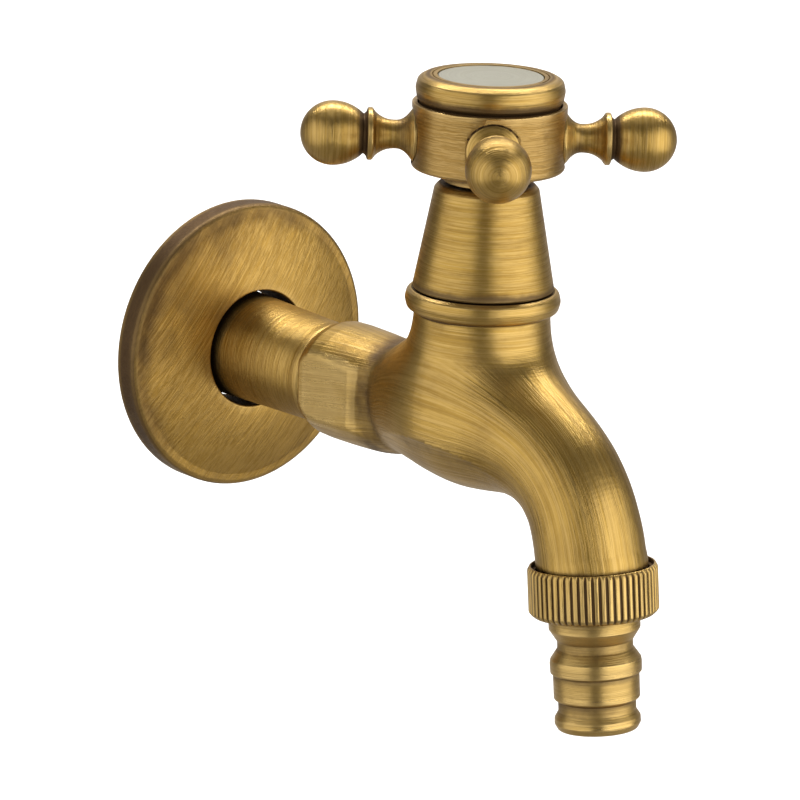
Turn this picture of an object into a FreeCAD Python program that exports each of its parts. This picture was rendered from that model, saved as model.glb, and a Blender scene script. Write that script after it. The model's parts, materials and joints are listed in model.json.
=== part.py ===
import FreeCAD, Part
import math
import os
import re
import Sketcher
from FreeCAD import Rotation, Vector

# Hose bib: a wall-mounted garden tap with a quarter-turn ceramic headwork.
# +Z is up, the wall is the plane Y = 0 and the tap reaches out toward -Y.
# The origin is the centre of the inlet where it meets the wall.
# Three axes carry almost every piece: the inlet axis (along Y), the bonnet
# axis (vertical, at Y = -reach) and the outlet axis (tilted a little forward).

DIMENSIONS = {
    # overall
    "reach": 74.7,
    "cover_seat": 26.6,
    "cover_rise": 19.7,
    "hub_gap": 2.9,
    "hub_rise": 12.2,
    "cap_rise": 5.1,
    "outlet_reach": 33.3,
    "outlet_drop": 18.3,
    "outlet_tilt": 6.6,
    "handle_turn": -37.1,
    # fits
    "running_gap": 0.08,
    "face_gap": 0.05,
    "loose_gap": 0.35,
    # body casting
    "thread_radius": 10.48,
    "stub_length": 15.0,
    "tube_wall_radius": 10.65,
    "tube_radius": 9.8,
    "tube_length": 32.3,
    "wrench_radius": 11.35,
    "wrench_swell": 11.2,
    "wrench_flat": 9.5,
    "wrench_length": 15.6,
    "groove_radius": 10.35,
    "chamber_radius": 13.9,
    "chamber_rise": 2.5,
    "spout_radius": 10.25,
    "neck_radius": 12.65,
    "bead_radius": 14.5,
    "bead_thick": 4.3,
    "blend_radius": 8.5,
    "inlet_bore": 6.5,
    "passage_bore": 3.6,
    "seat_bore": 4.8,
    "seat_level": 1.0,
    "spout_bore": 6.6,
    # bonnet cover
    "cover_foot_radius": 13.14,
    "cover_top_radius": 9.65,
    "cover_edge": 1.4,
    "cover_wall": 1.6,
    "cover_hole": 5.5,
    # headwork
    "hex_flats": 17.0,
    "hex_thick": 5.0,
    "collar_radius": 7.9,
    "barrel_radius": 6.0,
    "spindle_radius": 4.0,
    "disc_radius": 7.2,
    "disc_thick": 3.0,
    "port_radius": 2.1,
    "port_offset": 3.7,
    "seal_thick": 3.0,
    "washer_thick": 0.8,
    # handle
    "hub_radius": 14.3,
    "boss_radius": 8.1,
    "recess_depth": 2.6,
    "cap_radius": 13.83,
    "cap_skirt_radius": 13.0,
    "inlay_radius": 9.67,
    "inlay_thick": 1.15,
    "ring_groove": 10.71,
    "screw_radius": 2.4,
    "screw_head_radius": 4.2,
    "arm_height": 5.9,
    "arm_seat_radius": 5.3,
    "arm_root_radius": 4.2,
    "arm_neck_radius": 2.65,
    "arm_bead_radius": 4.95,
    "arm_ball_radius": 5.95,
    "arm_length": 21.25,
    "stud_radius": 2.5,
    "stud_length": 5.0,
    # wall flange
    "flange_radius": 28.3,
    "flange_skirt": 5.2,
    "flange_rise": 8.07,
    "flange_hole": 11.58,
    "flange_sheet": 1.2,
    "collar_sheet": 0.8,
    # outlet union
    "nut_radius": 11.99,
    "nut_height": 9.3,
    "nut_lip": 1.25,
    "rib_count": 56.0,
    "rib_depth": 0.38,
    "tail_flange": 1.4,
    "collar_catch": 2.03,
    "tail_shaft_radius": 7.95,
    "tail_latch_radius": 6.95,
    "tail_seal_radius": 7.15,
    "tail_length": 30.84,
    "tail_bore": 5.2,
}

COVER_TOP = "cover_seat + cover_rise"
HUB_BASE = COVER_TOP + " + hub_gap"
HUB_TOP = HUB_BASE + " + hub_rise"
CAP_TOP = HUB_TOP + " + cap_rise"
CAP_FLOOR = CAP_TOP + " - inlay_thick"
RECESS = HUB_TOP + " - recess_depth"
HUB_BOSS = COVER_TOP + " + loose_gap"
DISC_FOOT = "seat_level + seal_thick"
DISC_MEET = DISC_FOOT + " + disc_thick"
DISC_TOP = DISC_MEET + " + face_gap + disc_thick"
TONGUE_TOP = DISC_TOP + " + face_gap + 3"
SHOULDER = "cover_seat - 0.6"
CEILING = SHOULDER + " + washer_thick + face_gap"
COLLAR_TOP = "cover_seat + hex_thick + 10.9"
SPINDLE_TOP = RECESS + " - 1.8"
NUT_FLOOR = "nut_height - nut_lip"
COLLAR = "thread_radius - collar_catch"
TAIL_TOP = NUT_FLOOR + " - 0.1 - tail_flange"
THREAD_END = TAIL_TOP + " - 1.6"
BALL_CENTRE = "arm_length - arm_ball_radius"

doc = FreeCAD.newDocument("hose_bib")
dims = doc.addObject("Spreadsheet::Sheet", "dims")


def fill_sheet():
    for row, (alias, value) in enumerate(DIMENSIONS.items(), start=1):
        dims.set(f"A{row}", alias)
        dims.set(f"B{row}", str(value))
        dims.setAlias(f"B{row}", alias)
    doc.recompute()


def bound(text):
    """Turn a formula of plain aliases into one that names the sheet."""
    return re.sub(r"[a-z]+(?:_[a-z]+)*", as_cell, text)


def as_cell(match):
    word = match.group(0)
    return "dims." + word if word in DIMENSIONS else word


def value(text):
    return float(dims.evalExpression(bound(str(text))))


def bind(item, **formulas):
    for prop, formula in formulas.items():
        item.setExpression(prop, bound(str(formula)))
    return item


def place(item, base=("0", "0", "0"), rotation=None):
    if rotation is not None:
        item.Placement.Rotation = rotation
    for axis, formula in zip("xyz", base):
        item.setExpression(".Placement.Base." + axis, bound(str(formula)))
    return item


def primitive(kind, name, base=("0", "0", "0"), rotation=None, **sizes):
    item = doc.addObject("Part::" + kind, name)
    bind(item, **sizes)
    return place(item, base, rotation)


def union(name, pieces):
    item = doc.addObject("Part::MultiFuse", name)
    item.Shapes = pieces
    item.Refine = False
    return item


def cut(name, base, tools):
    item = doc.addObject("Part::Cut", name)
    item.Base = base
    item.Tool = tools[0] if len(tools) == 1 else union(name + "_tools", tools)
    item.Refine = False
    return item


# Placements shared by the three axes.
ON_BONNET = ("0", "-reach", "0")
ALONG_INLET = Rotation(Vector(1, 0, 0), 90)
OUTLET = ("0", "-reach - outlet_reach", "-outlet_drop")


def along_outlet():
    return Rotation(Vector(1, 0, 0), 180 - value("outlet_tilt"))


def toward(azimuth):
    """Local +Z turned to point out from the bonnet axis at an azimuth."""
    return Rotation(Vector(0, 0, 1), azimuth) * Rotation(Vector(0, 1, 0), 90)


def origin_plane(body, role):
    for feature in body.Origin.OriginFeatures:
        if feature.Role == role:
            return feature
    raise RuntimeError("no origin plane " + role)


def arc_between(start, end, radius):
    """A short arc from start to end; a positive radius bulges to the left."""
    chord = end - start
    middle = (start + end) * 0.5
    side = Vector(-chord.y, chord.x, 0).normalize()
    size = abs(radius)
    reach = math.sqrt(max(size * size - chord.Length ** 2 / 4, 0.0))
    sign = 1 if radius > 0 else -1
    crown = middle + side * sign * (size - reach)
    return Part.Arc(start, crown, end)


def draw_profile(sketch, profile):
    """Draw a closed outline in a sketch and bind every corner to the sheet.

    A profile is a list of (radius, height) or (radius, height, arc) formulas.
    The arc is the signed radius of the edge that leaves that corner.
    """
    corners = [Vector(value(p[0]), value(p[1]), 0) for p in profile]
    count = len(profile)
    for i, point in enumerate(profile):
        start = corners[i]
        end = corners[(i + 1) % count]
        if len(point) == 3:
            arc = arc_between(start, end, value(point[2]))
            sketch.addGeometry(arc, False)
        else:
            sketch.addGeometry(Part.LineSegment(start, end), False)
    ends = corner_ends(sketch, corners)
    for i, point in enumerate(profile):
        first, last = ends[i]
        following = ends[(i + 1) % count][0]
        sketch.addConstraint(Sketcher.Constraint("Coincident", i, last, (i + 1) % count, following))
    for i, point in enumerate(profile):
        hold_corner(sketch, i, ends[i][0], corners[i], point)
    for i, point in enumerate(profile):
        if len(point) == 3:
            size = abs(value(point[2]))
            index = sketch.addConstraint(Sketcher.Constraint("Radius", i, size))
            sketch.setExpression(f"Constraints[{index}]", bound(point[2].lstrip("-")))


def corner_ends(sketch, corners):
    """Which end of each edge starts it: 1 or 2, since arcs may be stored reversed."""
    ends = []
    for i, corner in enumerate(corners):
        first = sketch.getPoint(i, 1)
        second = sketch.getPoint(i, 2)
        forward = first.distanceToPoint(corner) <= second.distanceToPoint(corner)
        ends.append((1, 2) if forward else (2, 1))
    return ends


def hold_corner(sketch, edge, end, corner, point):
    for axis, kind, number in ((0, "DistanceX", corner.x), (1, "DistanceY", corner.y)):
        if point[axis] == "0":
            line = -2 if axis == 0 else -1
            sketch.addConstraint(Sketcher.Constraint("PointOnObject", edge, end, line))
        else:
            index = sketch.addConstraint(Sketcher.Constraint(kind, -1, 1, edge, end, number))
            sketch.setExpression(f"Constraints[{index}]", bound(point[axis]))


def turned(name, profile, base=("0", "0", "0"), rotation=None):
    """A piece turned on a lathe: its half outline revolved about local Z."""
    body = doc.addObject("PartDesign::Body", name)
    sketch = body.newObject("Sketcher::SketchObject", name + "_outline")
    sketch.AttachmentSupport = [(origin_plane(body, "XZ_Plane"), "")]
    sketch.MapMode = "FlatFace"
    doc.recompute()
    draw_profile(sketch, profile)
    doc.recompute()
    spin = body.newObject("PartDesign::Revolution", name + "_turning")
    spin.Profile = sketch
    spin.ReferenceAxis = (sketch, ["V_Axis"])
    spin.Angle = 360
    doc.recompute()
    return place(body, base, rotation)


def hexagon_prism(name, flats, height, base):
    item = primitive("Prism", name, base, Height=height)
    item.Polygon = 6
    bind(item, Circumradius=f"({flats}) / 1.7320508")
    return item


# ---------------------------------------------------------------- body casting

# Stations along the waterway from the wrench shoulder to the outlet: place
# along Y, height, radius and how far the section leans forward in degrees.
STATIONS = (
    ("-reach + 17.3", "0.4 * chamber_rise", "groove_radius", "-8"),
    ("-reach + 15.6", "0.62 * chamber_rise", "groove_radius + 0.45", "-9"),
    ("-reach + 12.6", "0.95 * chamber_rise", "0.5 * groove_radius + 0.5 * chamber_radius", "-5"),
    ("-reach + 8.0", "1.05 * chamber_rise", "chamber_radius - 0.75", "-1"),
    ("-reach - 0.3", "chamber_rise", "chamber_radius", "1.3"),
    ("-reach - 0.28 * outlet_reach", "0.84 * chamber_rise", "chamber_radius - 1.4", "5.7"),
    ("-reach - 0.41 * outlet_reach", "0.58 * chamber_rise", "spout_radius + 1.3", "11.8"),
    ("-reach - 0.56 * outlet_reach", "-0.001 * outlet_drop", "spout_radius + 0.45", "20.9"),
    ("-reach - 0.68 * outlet_reach", "-0.1 * outlet_drop", "spout_radius", "29.5"),
    ("-reach - 0.78 * outlet_reach", "-0.228 * outlet_drop", "spout_radius - 0.24", "40.9"),
    ("-reach - 0.865 * outlet_reach", "-0.409 * outlet_drop", "spout_radius - 0.27", "58.1"),
    ("-reach - 0.911 * outlet_reach", "-0.569 * outlet_drop", "spout_radius - 0.2", "68"),
    ("-reach - 0.95 * outlet_reach", "-0.745 * outlet_drop", "spout_radius - 0.1", "75"),
    ("-reach - outlet_reach", "-outlet_drop", "spout_radius", "90 - outlet_tilt"),
)

# Stations of the water passage inside the spout.
BORE_STATIONS = (
    ("-reach - 5.3", "seat_level + 6.6", "spout_bore - 2", "20"),
    ("-reach - 0.34 * outlet_reach", "seat_level + 3.2", "spout_bore - 1.4", "26"),
    ("-reach - 0.53 * outlet_reach", "0.3", "spout_bore - 0.7", "29"),
    ("-reach - 0.7 * outlet_reach", "-0.15 * outlet_drop", "spout_bore - 0.3", "37"),
    ("-reach - 0.835 * outlet_reach", "-0.35 * outlet_drop", "spout_bore - 0.1", "52"),
    ("-reach - 0.925 * outlet_reach", "-0.62 * outlet_drop", "spout_bore", "69"),
    ("-reach - outlet_reach", "-outlet_drop", "spout_bore", "90 - outlet_tilt"),
)


def lofted(name, stations):
    """A smooth tube through round sections that lean as the waterway turns."""
    sections = []
    for i, (forward, height, radius, lean) in enumerate(stations):
        rotation = Rotation(Vector(1, 0, 0), 90 + value(lean))
        section = primitive("Circle", f"{name}_section_{i}", ("0", forward, height), rotation, Radius=radius)
        sections.append(section)
    item = doc.addObject("Part::Loft", name)
    item.Sections = sections
    item.Solid = True
    item.Ruled = False
    return item


def inlet_tube():
    """Wall thread, tapering tube and the round of the wrench section."""
    profile = [
        ("0", "-stub_length"),
        ("thread_radius - 1", "-stub_length"),
        ("thread_radius", "-stub_length + 1"),
        ("thread_radius", "0"),
        ("tube_wall_radius", "0"),
        ("tube_radius", "tube_length"),
        ("tube_radius + 0.2", "tube_length + 0.5"),
        ("wrench_radius", "tube_length + 3.2", "30"),
        ("wrench_swell", "tube_length + wrench_length + 1"),
        ("wrench_swell - 0.45", "tube_length + wrench_length + 4"),
        ("groove_radius + 0.2", "tube_length + wrench_length + 8.2"),
        ("groove_radius", "reach - 16.6"),
        ("groove_radius - 1", "reach - 14"),
        ("0", "reach - 14"),
    ]
    return turned("inlet_tube", profile, rotation=ALONG_INLET)


def bonnet_neck():
    """Neck and half-round bead that carry the bonnet."""
    profile = [
        ("0", "chamber_rise"),
        ("neck_radius", "chamber_rise"),
        ("neck_radius", "cover_seat - bead_thick - 0.9"),
        ("neck_radius + 0.35", "cover_seat - bead_thick"),
        ("bead_radius - 0.6", "cover_seat - bead_thick + 0.35"),
        ("bead_radius", "cover_seat - 0.5 * bead_thick"),
        ("bead_radius - 0.55", "cover_seat - 0.35"),
        ("bead_radius - 1.1", "cover_seat"),
        ("0", "cover_seat"),
    ]
    return turned("bonnet_neck", profile, ON_BONNET)


def crease_edges(shape):
    """Edges where the neck runs into the waterway, in front and to the sides."""
    reach = value("reach")
    neck = value("neck_radius")
    low = value("chamber_rise")
    high = value("cover_seat - bead_thick - 1.5")
    found = []
    for number, edge in enumerate(shape.Edges, start=1):
        points = edge.discretize(7)
        on_neck = all(abs(math.hypot(p.x, p.y + reach) - neck) < 0.02 for p in points)
        inside = all(low + 0.5 < p.z < high for p in points)
        curved = max(p.z for p in points) - min(p.z for p in points) > 0.5
        if on_neck and inside and curved:
            found.append(number)
    return found


def body_casting():
    thread = primitive("Cylinder", "outlet_thread", OUTLET, along_outlet(),
                       Radius="thread_radius - running_gap", Height=THREAD_END)
    outside = union("cast_outside", [lofted("waterway", STATIONS), bonnet_neck()])
    doc.recompute()
    blend = doc.addObject("Part::Fillet", "cast_blend")
    blend.Base = outside
    size = value("blend_radius")
    blend.Edges = [(number, size, size) for number in crease_edges(outside.Shape)]
    doc.recompute()
    tube = inlet_tube()
    flats = [
        primitive("Box", "wrench_flat_right", ("wrench_flat", "-tube_length - wrench_length", "-20"),
                  Length="10", Width="wrench_length", Height="40"),
        primitive("Box", "wrench_flat_left", ("-wrench_flat - 10", "-tube_length - wrench_length", "-20"),
                  Length="10", Width="wrench_length", Height="40"),
    ]
    inlet = cut("inlet_section", tube, flats)
    whole = union("cast_whole", [blend, inlet, thread])
    inlet_bore = primitive("Cylinder", "inlet_bore_tool", ("0", "stub_length + 1", "0"), ALONG_INLET,
                           Radius="inlet_bore", Height="stub_length + 1 + reach - 18.7")
    start = Vector(0, -value("reach - 20.5"), -1.5)
    end = Vector(0, -value("reach"), value("seat_level - 7"))
    slant = Rotation(Vector(0, 0, 1), end - start)
    passage = primitive("Cylinder", "passage_tool", ("0", "-reach + 20.5", "-1.5"), slant,
                        Radius="passage_bore", Height=str(end.distanceToPoint(start)))
    lower = primitive("Cylinder", "seat_tool", ("0", "-reach", "seat_level - 9"), None,
                      Radius="seat_bore", Height="9.5")
    cavity = primitive("Cylinder", "cavity_tool", ("0", "-reach", "seat_level"), None,
                       Radius="thread_radius + 0.02", Height="cover_seat")
    pocket = primitive("Cylinder", "oring_pocket_tool", ("0", "-reach", "cover_seat - 1.2"), None,
                       Radius="thread_radius + 0.85", Height="5")
    spout = lofted("spout_bore_tool", BORE_STATIONS)
    mouth = primitive("Cylinder", "mouth_tool", OUTLET, along_outlet(),
                      Radius="spout_bore", Height="nut_height")
    return cut("body_casting", whole, [inlet_bore, passage, lower, cavity, pocket, spout, mouth])


# ------------------------------------------------------- headwork and cover

def bonnet_cover():
    """Conical cover over the headwork, threaded onto the headwork's collar."""
    profile = [
        ("cover_foot_radius", "cover_seat"),
        ("cover_foot_radius", "cover_seat + 0.3"),
        ("cover_top_radius", COVER_TOP + " - cover_edge", "-cover_edge"),
        ("cover_top_radius - cover_edge", COVER_TOP),
        ("cover_hole", COVER_TOP),
        ("cover_hole", COLLAR_TOP + " + 0.4"),
        ("collar_radius + face_gap", COLLAR_TOP + " + 0.4"),
        ("collar_radius + face_gap", "cover_seat + hex_thick + 1.4"),
        ("cover_foot_radius - cover_wall - 0.6", "cover_seat + hex_thick"),
        ("cover_foot_radius - 1.2", "cover_seat + 1.6"),
        ("cover_foot_radius - 1.2", "cover_seat"),
    ]
    return turned("bonnet_cover", profile, ON_BONNET)


def cartridge_housing():
    """Brass headwork: windowed barrel, body thread, hexagon and collar."""
    profile = [
        ("disc_radius + 0.15", "seat_level + 1.4"),
        ("disc_radius + 1.3", "seat_level + 1.4"),
        ("disc_radius + 1.3", "seat_level + 11.8"),
        ("thread_radius - 0.1", "seat_level + 12.5"),
        ("thread_radius - 0.1", "cover_seat - 1.3"),
        ("thread_radius - 0.4", "cover_seat - 1.2"),
        ("thread_radius - 0.4", "cover_seat"),
        ("thread_radius + 1.35", "cover_seat"),
        ("thread_radius + 1.35", "cover_seat + 1.2"),
        ("collar_radius", "cover_seat + 1.2"),
        ("collar_radius", COLLAR_TOP),
        ("spindle_radius + running_gap", COLLAR_TOP),
        ("spindle_radius + running_gap", CEILING),
        ("barrel_radius + running_gap", CEILING),
        ("barrel_radius + running_gap", TONGUE_TOP + " + 0.35"),
        ("disc_radius + 0.15", TONGUE_TOP + " + 0.35"),
    ]
    barrel = turned("housing_turning", profile, ON_BONNET)
    window = primitive("Box", "housing_window", ("-4.5", "-reach - 12", DISC_TOP + " - 1"), None,
                       Length="9", Width="24", Height="4")
    windowed = cut("housing_barrel", barrel, [window])
    nut = hexagon_prism("housing_hexagon", "hex_flats", "hex_thick - 1", ("0", "-reach", "cover_seat + 1"))
    bore = primitive("Cylinder", "housing_hexagon_bore", ("0", "-reach", "cover_seat"), None,
                     Radius="collar_radius - 1.5", Height="hex_thick + 1")
    ring = cut("housing_nut", nut, [bore])
    return union("cartridge_housing", [windowed, ring])


def ring_seal(name, mean, cord, height):
    return primitive("Torus", name, ("0", "-reach", height), None, Radius1=mean, Radius2=cord)


def seat_seal():
    profile = [
        ("seat_bore", "seat_level"),
        ("disc_radius", "seat_level"),
        ("disc_radius", DISC_FOOT),
        ("seat_bore", DISC_FOOT),
    ]
    return turned("seat_seal", profile, ON_BONNET)


def ceramic_disc(name, base, along):
    """Polished ceramic disc with two round ports either side of its centre."""
    blank = primitive("Cylinder", name + "_blank", ("0", "-reach", base), None,
                      Radius="disc_radius", Height="disc_thick")
    ports = []
    for side, sign in (("near", "-"), ("far", "+")):
        aside = f"0 {sign} port_offset" if along == "x" else "0"
        ahead = f"-reach {sign} port_offset" if along == "y" else "-reach"
        ports.append(primitive("Cylinder", f"{name}_port_{side}", (aside, ahead, base + " - 1"), None,
                               Radius="port_radius", Height="disc_thick + 2"))
    return cut(name, blank, ports)


def spindle():
    """Brass spindle: sealed barrel, clipped shaft and a tongue that turns the disc."""
    seal_floor = "barrel_radius - 1.35"
    low_seal = TONGUE_TOP + " + 3.2"
    high_seal = TONGUE_TOP + " + 6.8"
    profile = [
        ("0", TONGUE_TOP),
        ("barrel_radius", TONGUE_TOP),
        ("barrel_radius", low_seal),
        (seal_floor, low_seal),
        (seal_floor, low_seal + " + 1.6"),
        ("barrel_radius", low_seal + " + 1.6"),
        ("barrel_radius", high_seal),
        (seal_floor, high_seal),
        (seal_floor, high_seal + " + 1.6"),
        ("barrel_radius", high_seal + " + 1.6"),
        ("barrel_radius", SHOULDER),
        ("spindle_radius", SHOULDER),
        ("spindle_radius", COLLAR_TOP + " + 0.1"),
        ("spindle_radius - 0.6", COLLAR_TOP + " + 0.1"),
        ("spindle_radius - 0.6", COLLAR_TOP + " + 0.1 + washer_thick"),
        ("spindle_radius", COLLAR_TOP + " + 0.1 + washer_thick"),
        ("spindle_radius", SPINDLE_TOP + " - 0.6"),
        ("spindle_radius - 0.6", SPINDLE_TOP),
        ("screw_radius + 0.02", SPINDLE_TOP),
        ("screw_radius + 0.02", SPINDLE_TOP + " - 9.5"),
        ("0", SPINDLE_TOP + " - 9.5"),
    ]
    shaft = turned("spindle_turning", profile, ON_BONNET)
    tongue = primitive("Box", "spindle_tongue", ("-5.5", "-reach - 1.5", DISC_TOP + " + face_gap"), None,
                       Length="11", Width="3", Height="3.5")
    return union("spindle", [shaft, tongue])


def spindle_orings():
    low = ring_seal("oring_low", "barrel_radius - 0.65", "0.68", TONGUE_TOP + " + 4")
    high = ring_seal("oring_high", "barrel_radius - 0.65", "0.68", TONGUE_TOP + " + 7.6")
    item = doc.addObject("Part::Compound", "spindle_orings")
    item.Links = [low, high]
    return item


def flat_ring(name, inner, outer, low, high, base=ON_BONNET, rotation=None):
    profile = [(inner, low), (outer, low), (outer, high), (inner, high)]
    return turned(name, profile, base, rotation)


# --------------------------------------------------------------------- handle

def arm_azimuths():
    turn = value("handle_turn")
    return {"right": turn, "back": turn + 90, "left": turn + 180, "front": turn + 270}


def handle_hub():
    """Round hub with four arm seats, a spindle socket and a recess for the cap."""
    profile = [
        ("spindle_radius + 0.02", HUB_BOSS),
        ("boss_radius", HUB_BOSS),
        ("boss_radius", HUB_BASE),
        ("hub_radius - 0.6", HUB_BASE, "-0.5"),
        ("hub_radius - 0.1", HUB_BASE + " + 0.5"),
        ("hub_radius", HUB_TOP + " - 0.35"),
        ("hub_radius - 0.35", HUB_TOP),
        ("cap_skirt_radius + 0.3", HUB_TOP),
        ("cap_skirt_radius + 0.3", RECESS),
        ("screw_radius + 0.15", RECESS),
        ("screw_radius + 0.15", SPINDLE_TOP + " + 0.3"),
        ("spindle_radius + 0.02", SPINDLE_TOP + " + 0.3"),
    ]
    blank = turned("hub_turning", profile, ON_BONNET)
    height = HUB_BASE + " + arm_height"
    tools = []
    for side, azimuth in arm_azimuths().items():
        direction = Vector(math.cos(math.radians(azimuth)), math.sin(math.radians(azimuth)), 0)
        for kind, radius, start, length in (
            ("seat", "arm_seat_radius", "hub_radius - 0.9", "6"),
            ("tap", "stud_radius", "hub_radius - 0.9 - stud_length", "6"),
        ):
            base = (f"({start}) * {direction.x}", f"-reach + ({start}) * {direction.y}", height)
            tools.append(primitive("Cylinder", f"hub_{kind}_{side}", base, toward(azimuth),
                                   Radius=radius, Height=length))
    return cut("handle_hub", blank, tools)


def handle_arm(side, azimuth):
    """One turned arm: threaded stud, flared root, waist, bead and rounded end."""
    ball_start = BALL_CENTRE + " - 5.8"
    profile = [
        ("0", "-stud_length + 0.1"),
        ("stud_radius - 0.02", "-stud_length + 0.1"),
        ("stud_radius - 0.02", "0"),
        ("arm_seat_radius - 0.25", "0"),
        ("arm_seat_radius - 0.25", "0.5"),
        ("arm_root_radius + 0.3", "1.05", "9"),
        ("arm_neck_radius", "3.9", "7"),
        ("arm_bead_radius - 1.1", ball_start + " - 1.9"),
        ("arm_bead_radius - 0.2", ball_start + " - 1.7", "-0.95"),
        ("arm_bead_radius - 0.2", ball_start + " - 0.3"),
        ("arm_ball_radius - 2.75", ball_start + " - 0.1"),
        ("arm_ball_radius - 2.45", ball_start + " + 0.1", "-8.1"),
        ("arm_ball_radius", BALL_CENTRE, "-arm_ball_radius"),
        ("0", "arm_length"),
    ]
    direction = Vector(math.cos(math.radians(azimuth)), math.sin(math.radians(azimuth)), 0)
    start = "hub_radius - 0.9"
    base = (f"({start}) * {direction.x}", f"-reach + ({start}) * {direction.y}", HUB_BASE + " + arm_height")
    return turned("handle_arm_" + side, profile, base, toward(azimuth))


def handle_cap():
    """Cap with a half-round edge, a fine ring groove and a recess for the inlay."""
    profile = [
        ("0", CAP_FLOOR),
        ("0", CAP_FLOOR + " - 1.5"),
        ("cap_skirt_radius - 1.3", CAP_FLOOR + " - 1.5"),
        ("cap_skirt_radius - 1.3", HUB_TOP + " - 1.7"),
        ("cap_skirt_radius", HUB_TOP + " - 1.7"),
        ("cap_skirt_radius", HUB_TOP + " + 0.2", "-3.05"),
        ("cap_radius - 1.5", CAP_TOP + " - 0.08"),
        ("cap_radius - 2", CAP_TOP),
        ("ring_groove + 0.16", CAP_TOP),
        ("ring_groove", CAP_TOP + " - 0.3"),
        ("ring_groove - 0.16", CAP_TOP),
        ("inlay_radius + 0.08", CAP_TOP),
        ("inlay_radius + 0.08", CAP_FLOOR),
    ]
    return turned("handle_cap", profile, ON_BONNET)


def cap_inlay():
    profile = [
        ("0", CAP_FLOOR),
        ("inlay_radius", CAP_FLOOR),
        ("inlay_radius", CAP_TOP + " - 0.35"),
        ("inlay_radius - 0.2", CAP_TOP + " - 0.15"),
        ("0", CAP_TOP + " - 0.15"),
    ]
    return turned("cap_inlay", profile, ON_BONNET)


def handle_screw():
    """Screw down the hub into the spindle, with a cross recess in its head."""
    seat = RECESS + " + washer_thick"
    profile = [
        ("0", SPINDLE_TOP + " - 8.5"),
        ("screw_radius", SPINDLE_TOP + " - 8.5"),
        ("screw_radius", seat),
        ("screw_head_radius", seat),
        ("screw_head_radius", seat + " + 1.4"),
        ("screw_head_radius - 1", seat + " + 2.3"),
        ("0", seat + " + 2.3"),
    ]
    turning = turned("screw_turning", profile, ON_BONNET)
    slots = [
        primitive("Box", "screw_slot_across", ("-2.2", "-reach - 0.4", seat + " + 1.1"), None,
                  Length="4.4", Width="0.8", Height="3"),
        primitive("Box", "screw_slot_along", ("-0.4", "-reach - 2.2", seat + " + 1.1"), None,
                  Length="0.8", Width="4.4", Height="3"),
    ]
    return cut("handle_screw", turning, slots)


# ---------------------------------------------------------------- wall flange

def wall_flange():
    """Pressed sheet flange with a collar round the tube; it hides the hole in the wall."""
    profile = [
        ("flange_radius - flange_sheet", "0"),
        ("flange_radius", "0"),
        ("flange_radius", "flange_skirt - 1.7", "-1.7"),
        ("flange_radius - 1.5", "flange_skirt", "-90"),
        ("flange_hole + 0.3", "flange_rise - 0.05"),
        ("flange_hole", "flange_rise - 0.3"),
        ("flange_hole", "0.5"),
        ("flange_hole + collar_sheet", "0.5"),
        ("flange_hole + collar_sheet", "flange_rise - flange_sheet - 0.05", "90"),
        ("flange_radius - 1.9", "flange_skirt - flange_sheet"),
        ("flange_radius - flange_sheet", "flange_skirt - flange_sheet - 0.8"),
    ]
    return turned("wall_flange", profile, rotation=ALONG_INLET)


# --------------------------------------------------------------- outlet union

def union_nut():
    """Knurled nut: plain bore, inward lip at its foot and fine straight ribs."""
    profile = [
        ("nut_radius - 0.55", "0"),
        ("nut_radius", "0.5"),
        ("nut_radius", "nut_height - 0.6"),
        ("nut_radius - 0.6", "nut_height"),
        (COLLAR + " + loose_gap", "nut_height"),
        (COLLAR + " + loose_gap", NUT_FLOOR),
        ("thread_radius", NUT_FLOOR),
        ("thread_radius", "0.9"),
        ("nut_radius - 0.75", "0.9"),
        ("nut_radius - 0.75", "0"),
    ]
    blank = turned("nut_turning", profile, OUTLET, along_outlet())
    groove = primitive("Cylinder", "nut_groove", ("nut_radius + 0.12", "0", "0.75"), None,
                       Radius="0.12 + rib_depth", Height="nut_height - 1.5")
    doc.recompute()
    count = round(value("rib_count"))
    grooves = []
    for i in range(count):
        tool = groove.Shape.copy()
        tool.rotate(Vector(0, 0, 0), Vector(0, 0, 1), 360 * i / count)
        grooves.append(tool)
    ring = doc.addObject("Part::Feature", "nut_groove_ring")
    ring.Shape = Part.makeCompound(grooves)
    ring.Placement = FreeCAD.Placement(
        Vector(0, value(OUTLET[1]), value(OUTLET[2])), along_outlet())
    return cut("union_nut", blank, [ring])


def hose_nipple():
    """Quick-connect tail with a latch groove and a seal groove."""
    profile = [
        ("spout_bore", TAIL_TOP),
        ("thread_radius - 0.3", TAIL_TOP),
        ("thread_radius - 0.3", TAIL_TOP + " + tail_flange"),
        (COLLAR, TAIL_TOP + " + tail_flange"),
        (COLLAR, "nut_height + 2.7"),
        (COLLAR + " - 0.25", "nut_height + 3.1"),
        ("tail_latch_radius", "nut_height + 5"),
        ("tail_latch_radius", "nut_height + 6.3"),
        (COLLAR + " - 0.1", "nut_height + 8.3"),
        (COLLAR + " + 0.05", "nut_height + 8.7"),
        (COLLAR + " + 0.05", "nut_height + 10.6"),
        (COLLAR + " - 0.1", "nut_height + 10.9"),
        ("tail_shaft_radius", "nut_height + 11.3"),
        ("tail_shaft_radius", "tail_length - 5.75"),
        ("tail_seal_radius", "tail_length - 5.4"),
        ("tail_seal_radius", "tail_length - 3.5"),
        ("tail_shaft_radius", "tail_length - 2.2"),
        ("tail_shaft_radius", "tail_length - 1.3", "-1.35"),
        ("tail_shaft_radius - 1.1", "tail_length"),
        ("tail_bore + 0.4", "tail_length"),
        ("tail_bore", "tail_length - 0.4"),
        ("tail_bore", "nut_height + 4"),
    ]
    return turned("hose_nipple", profile, OUTLET, along_outlet())


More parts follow.
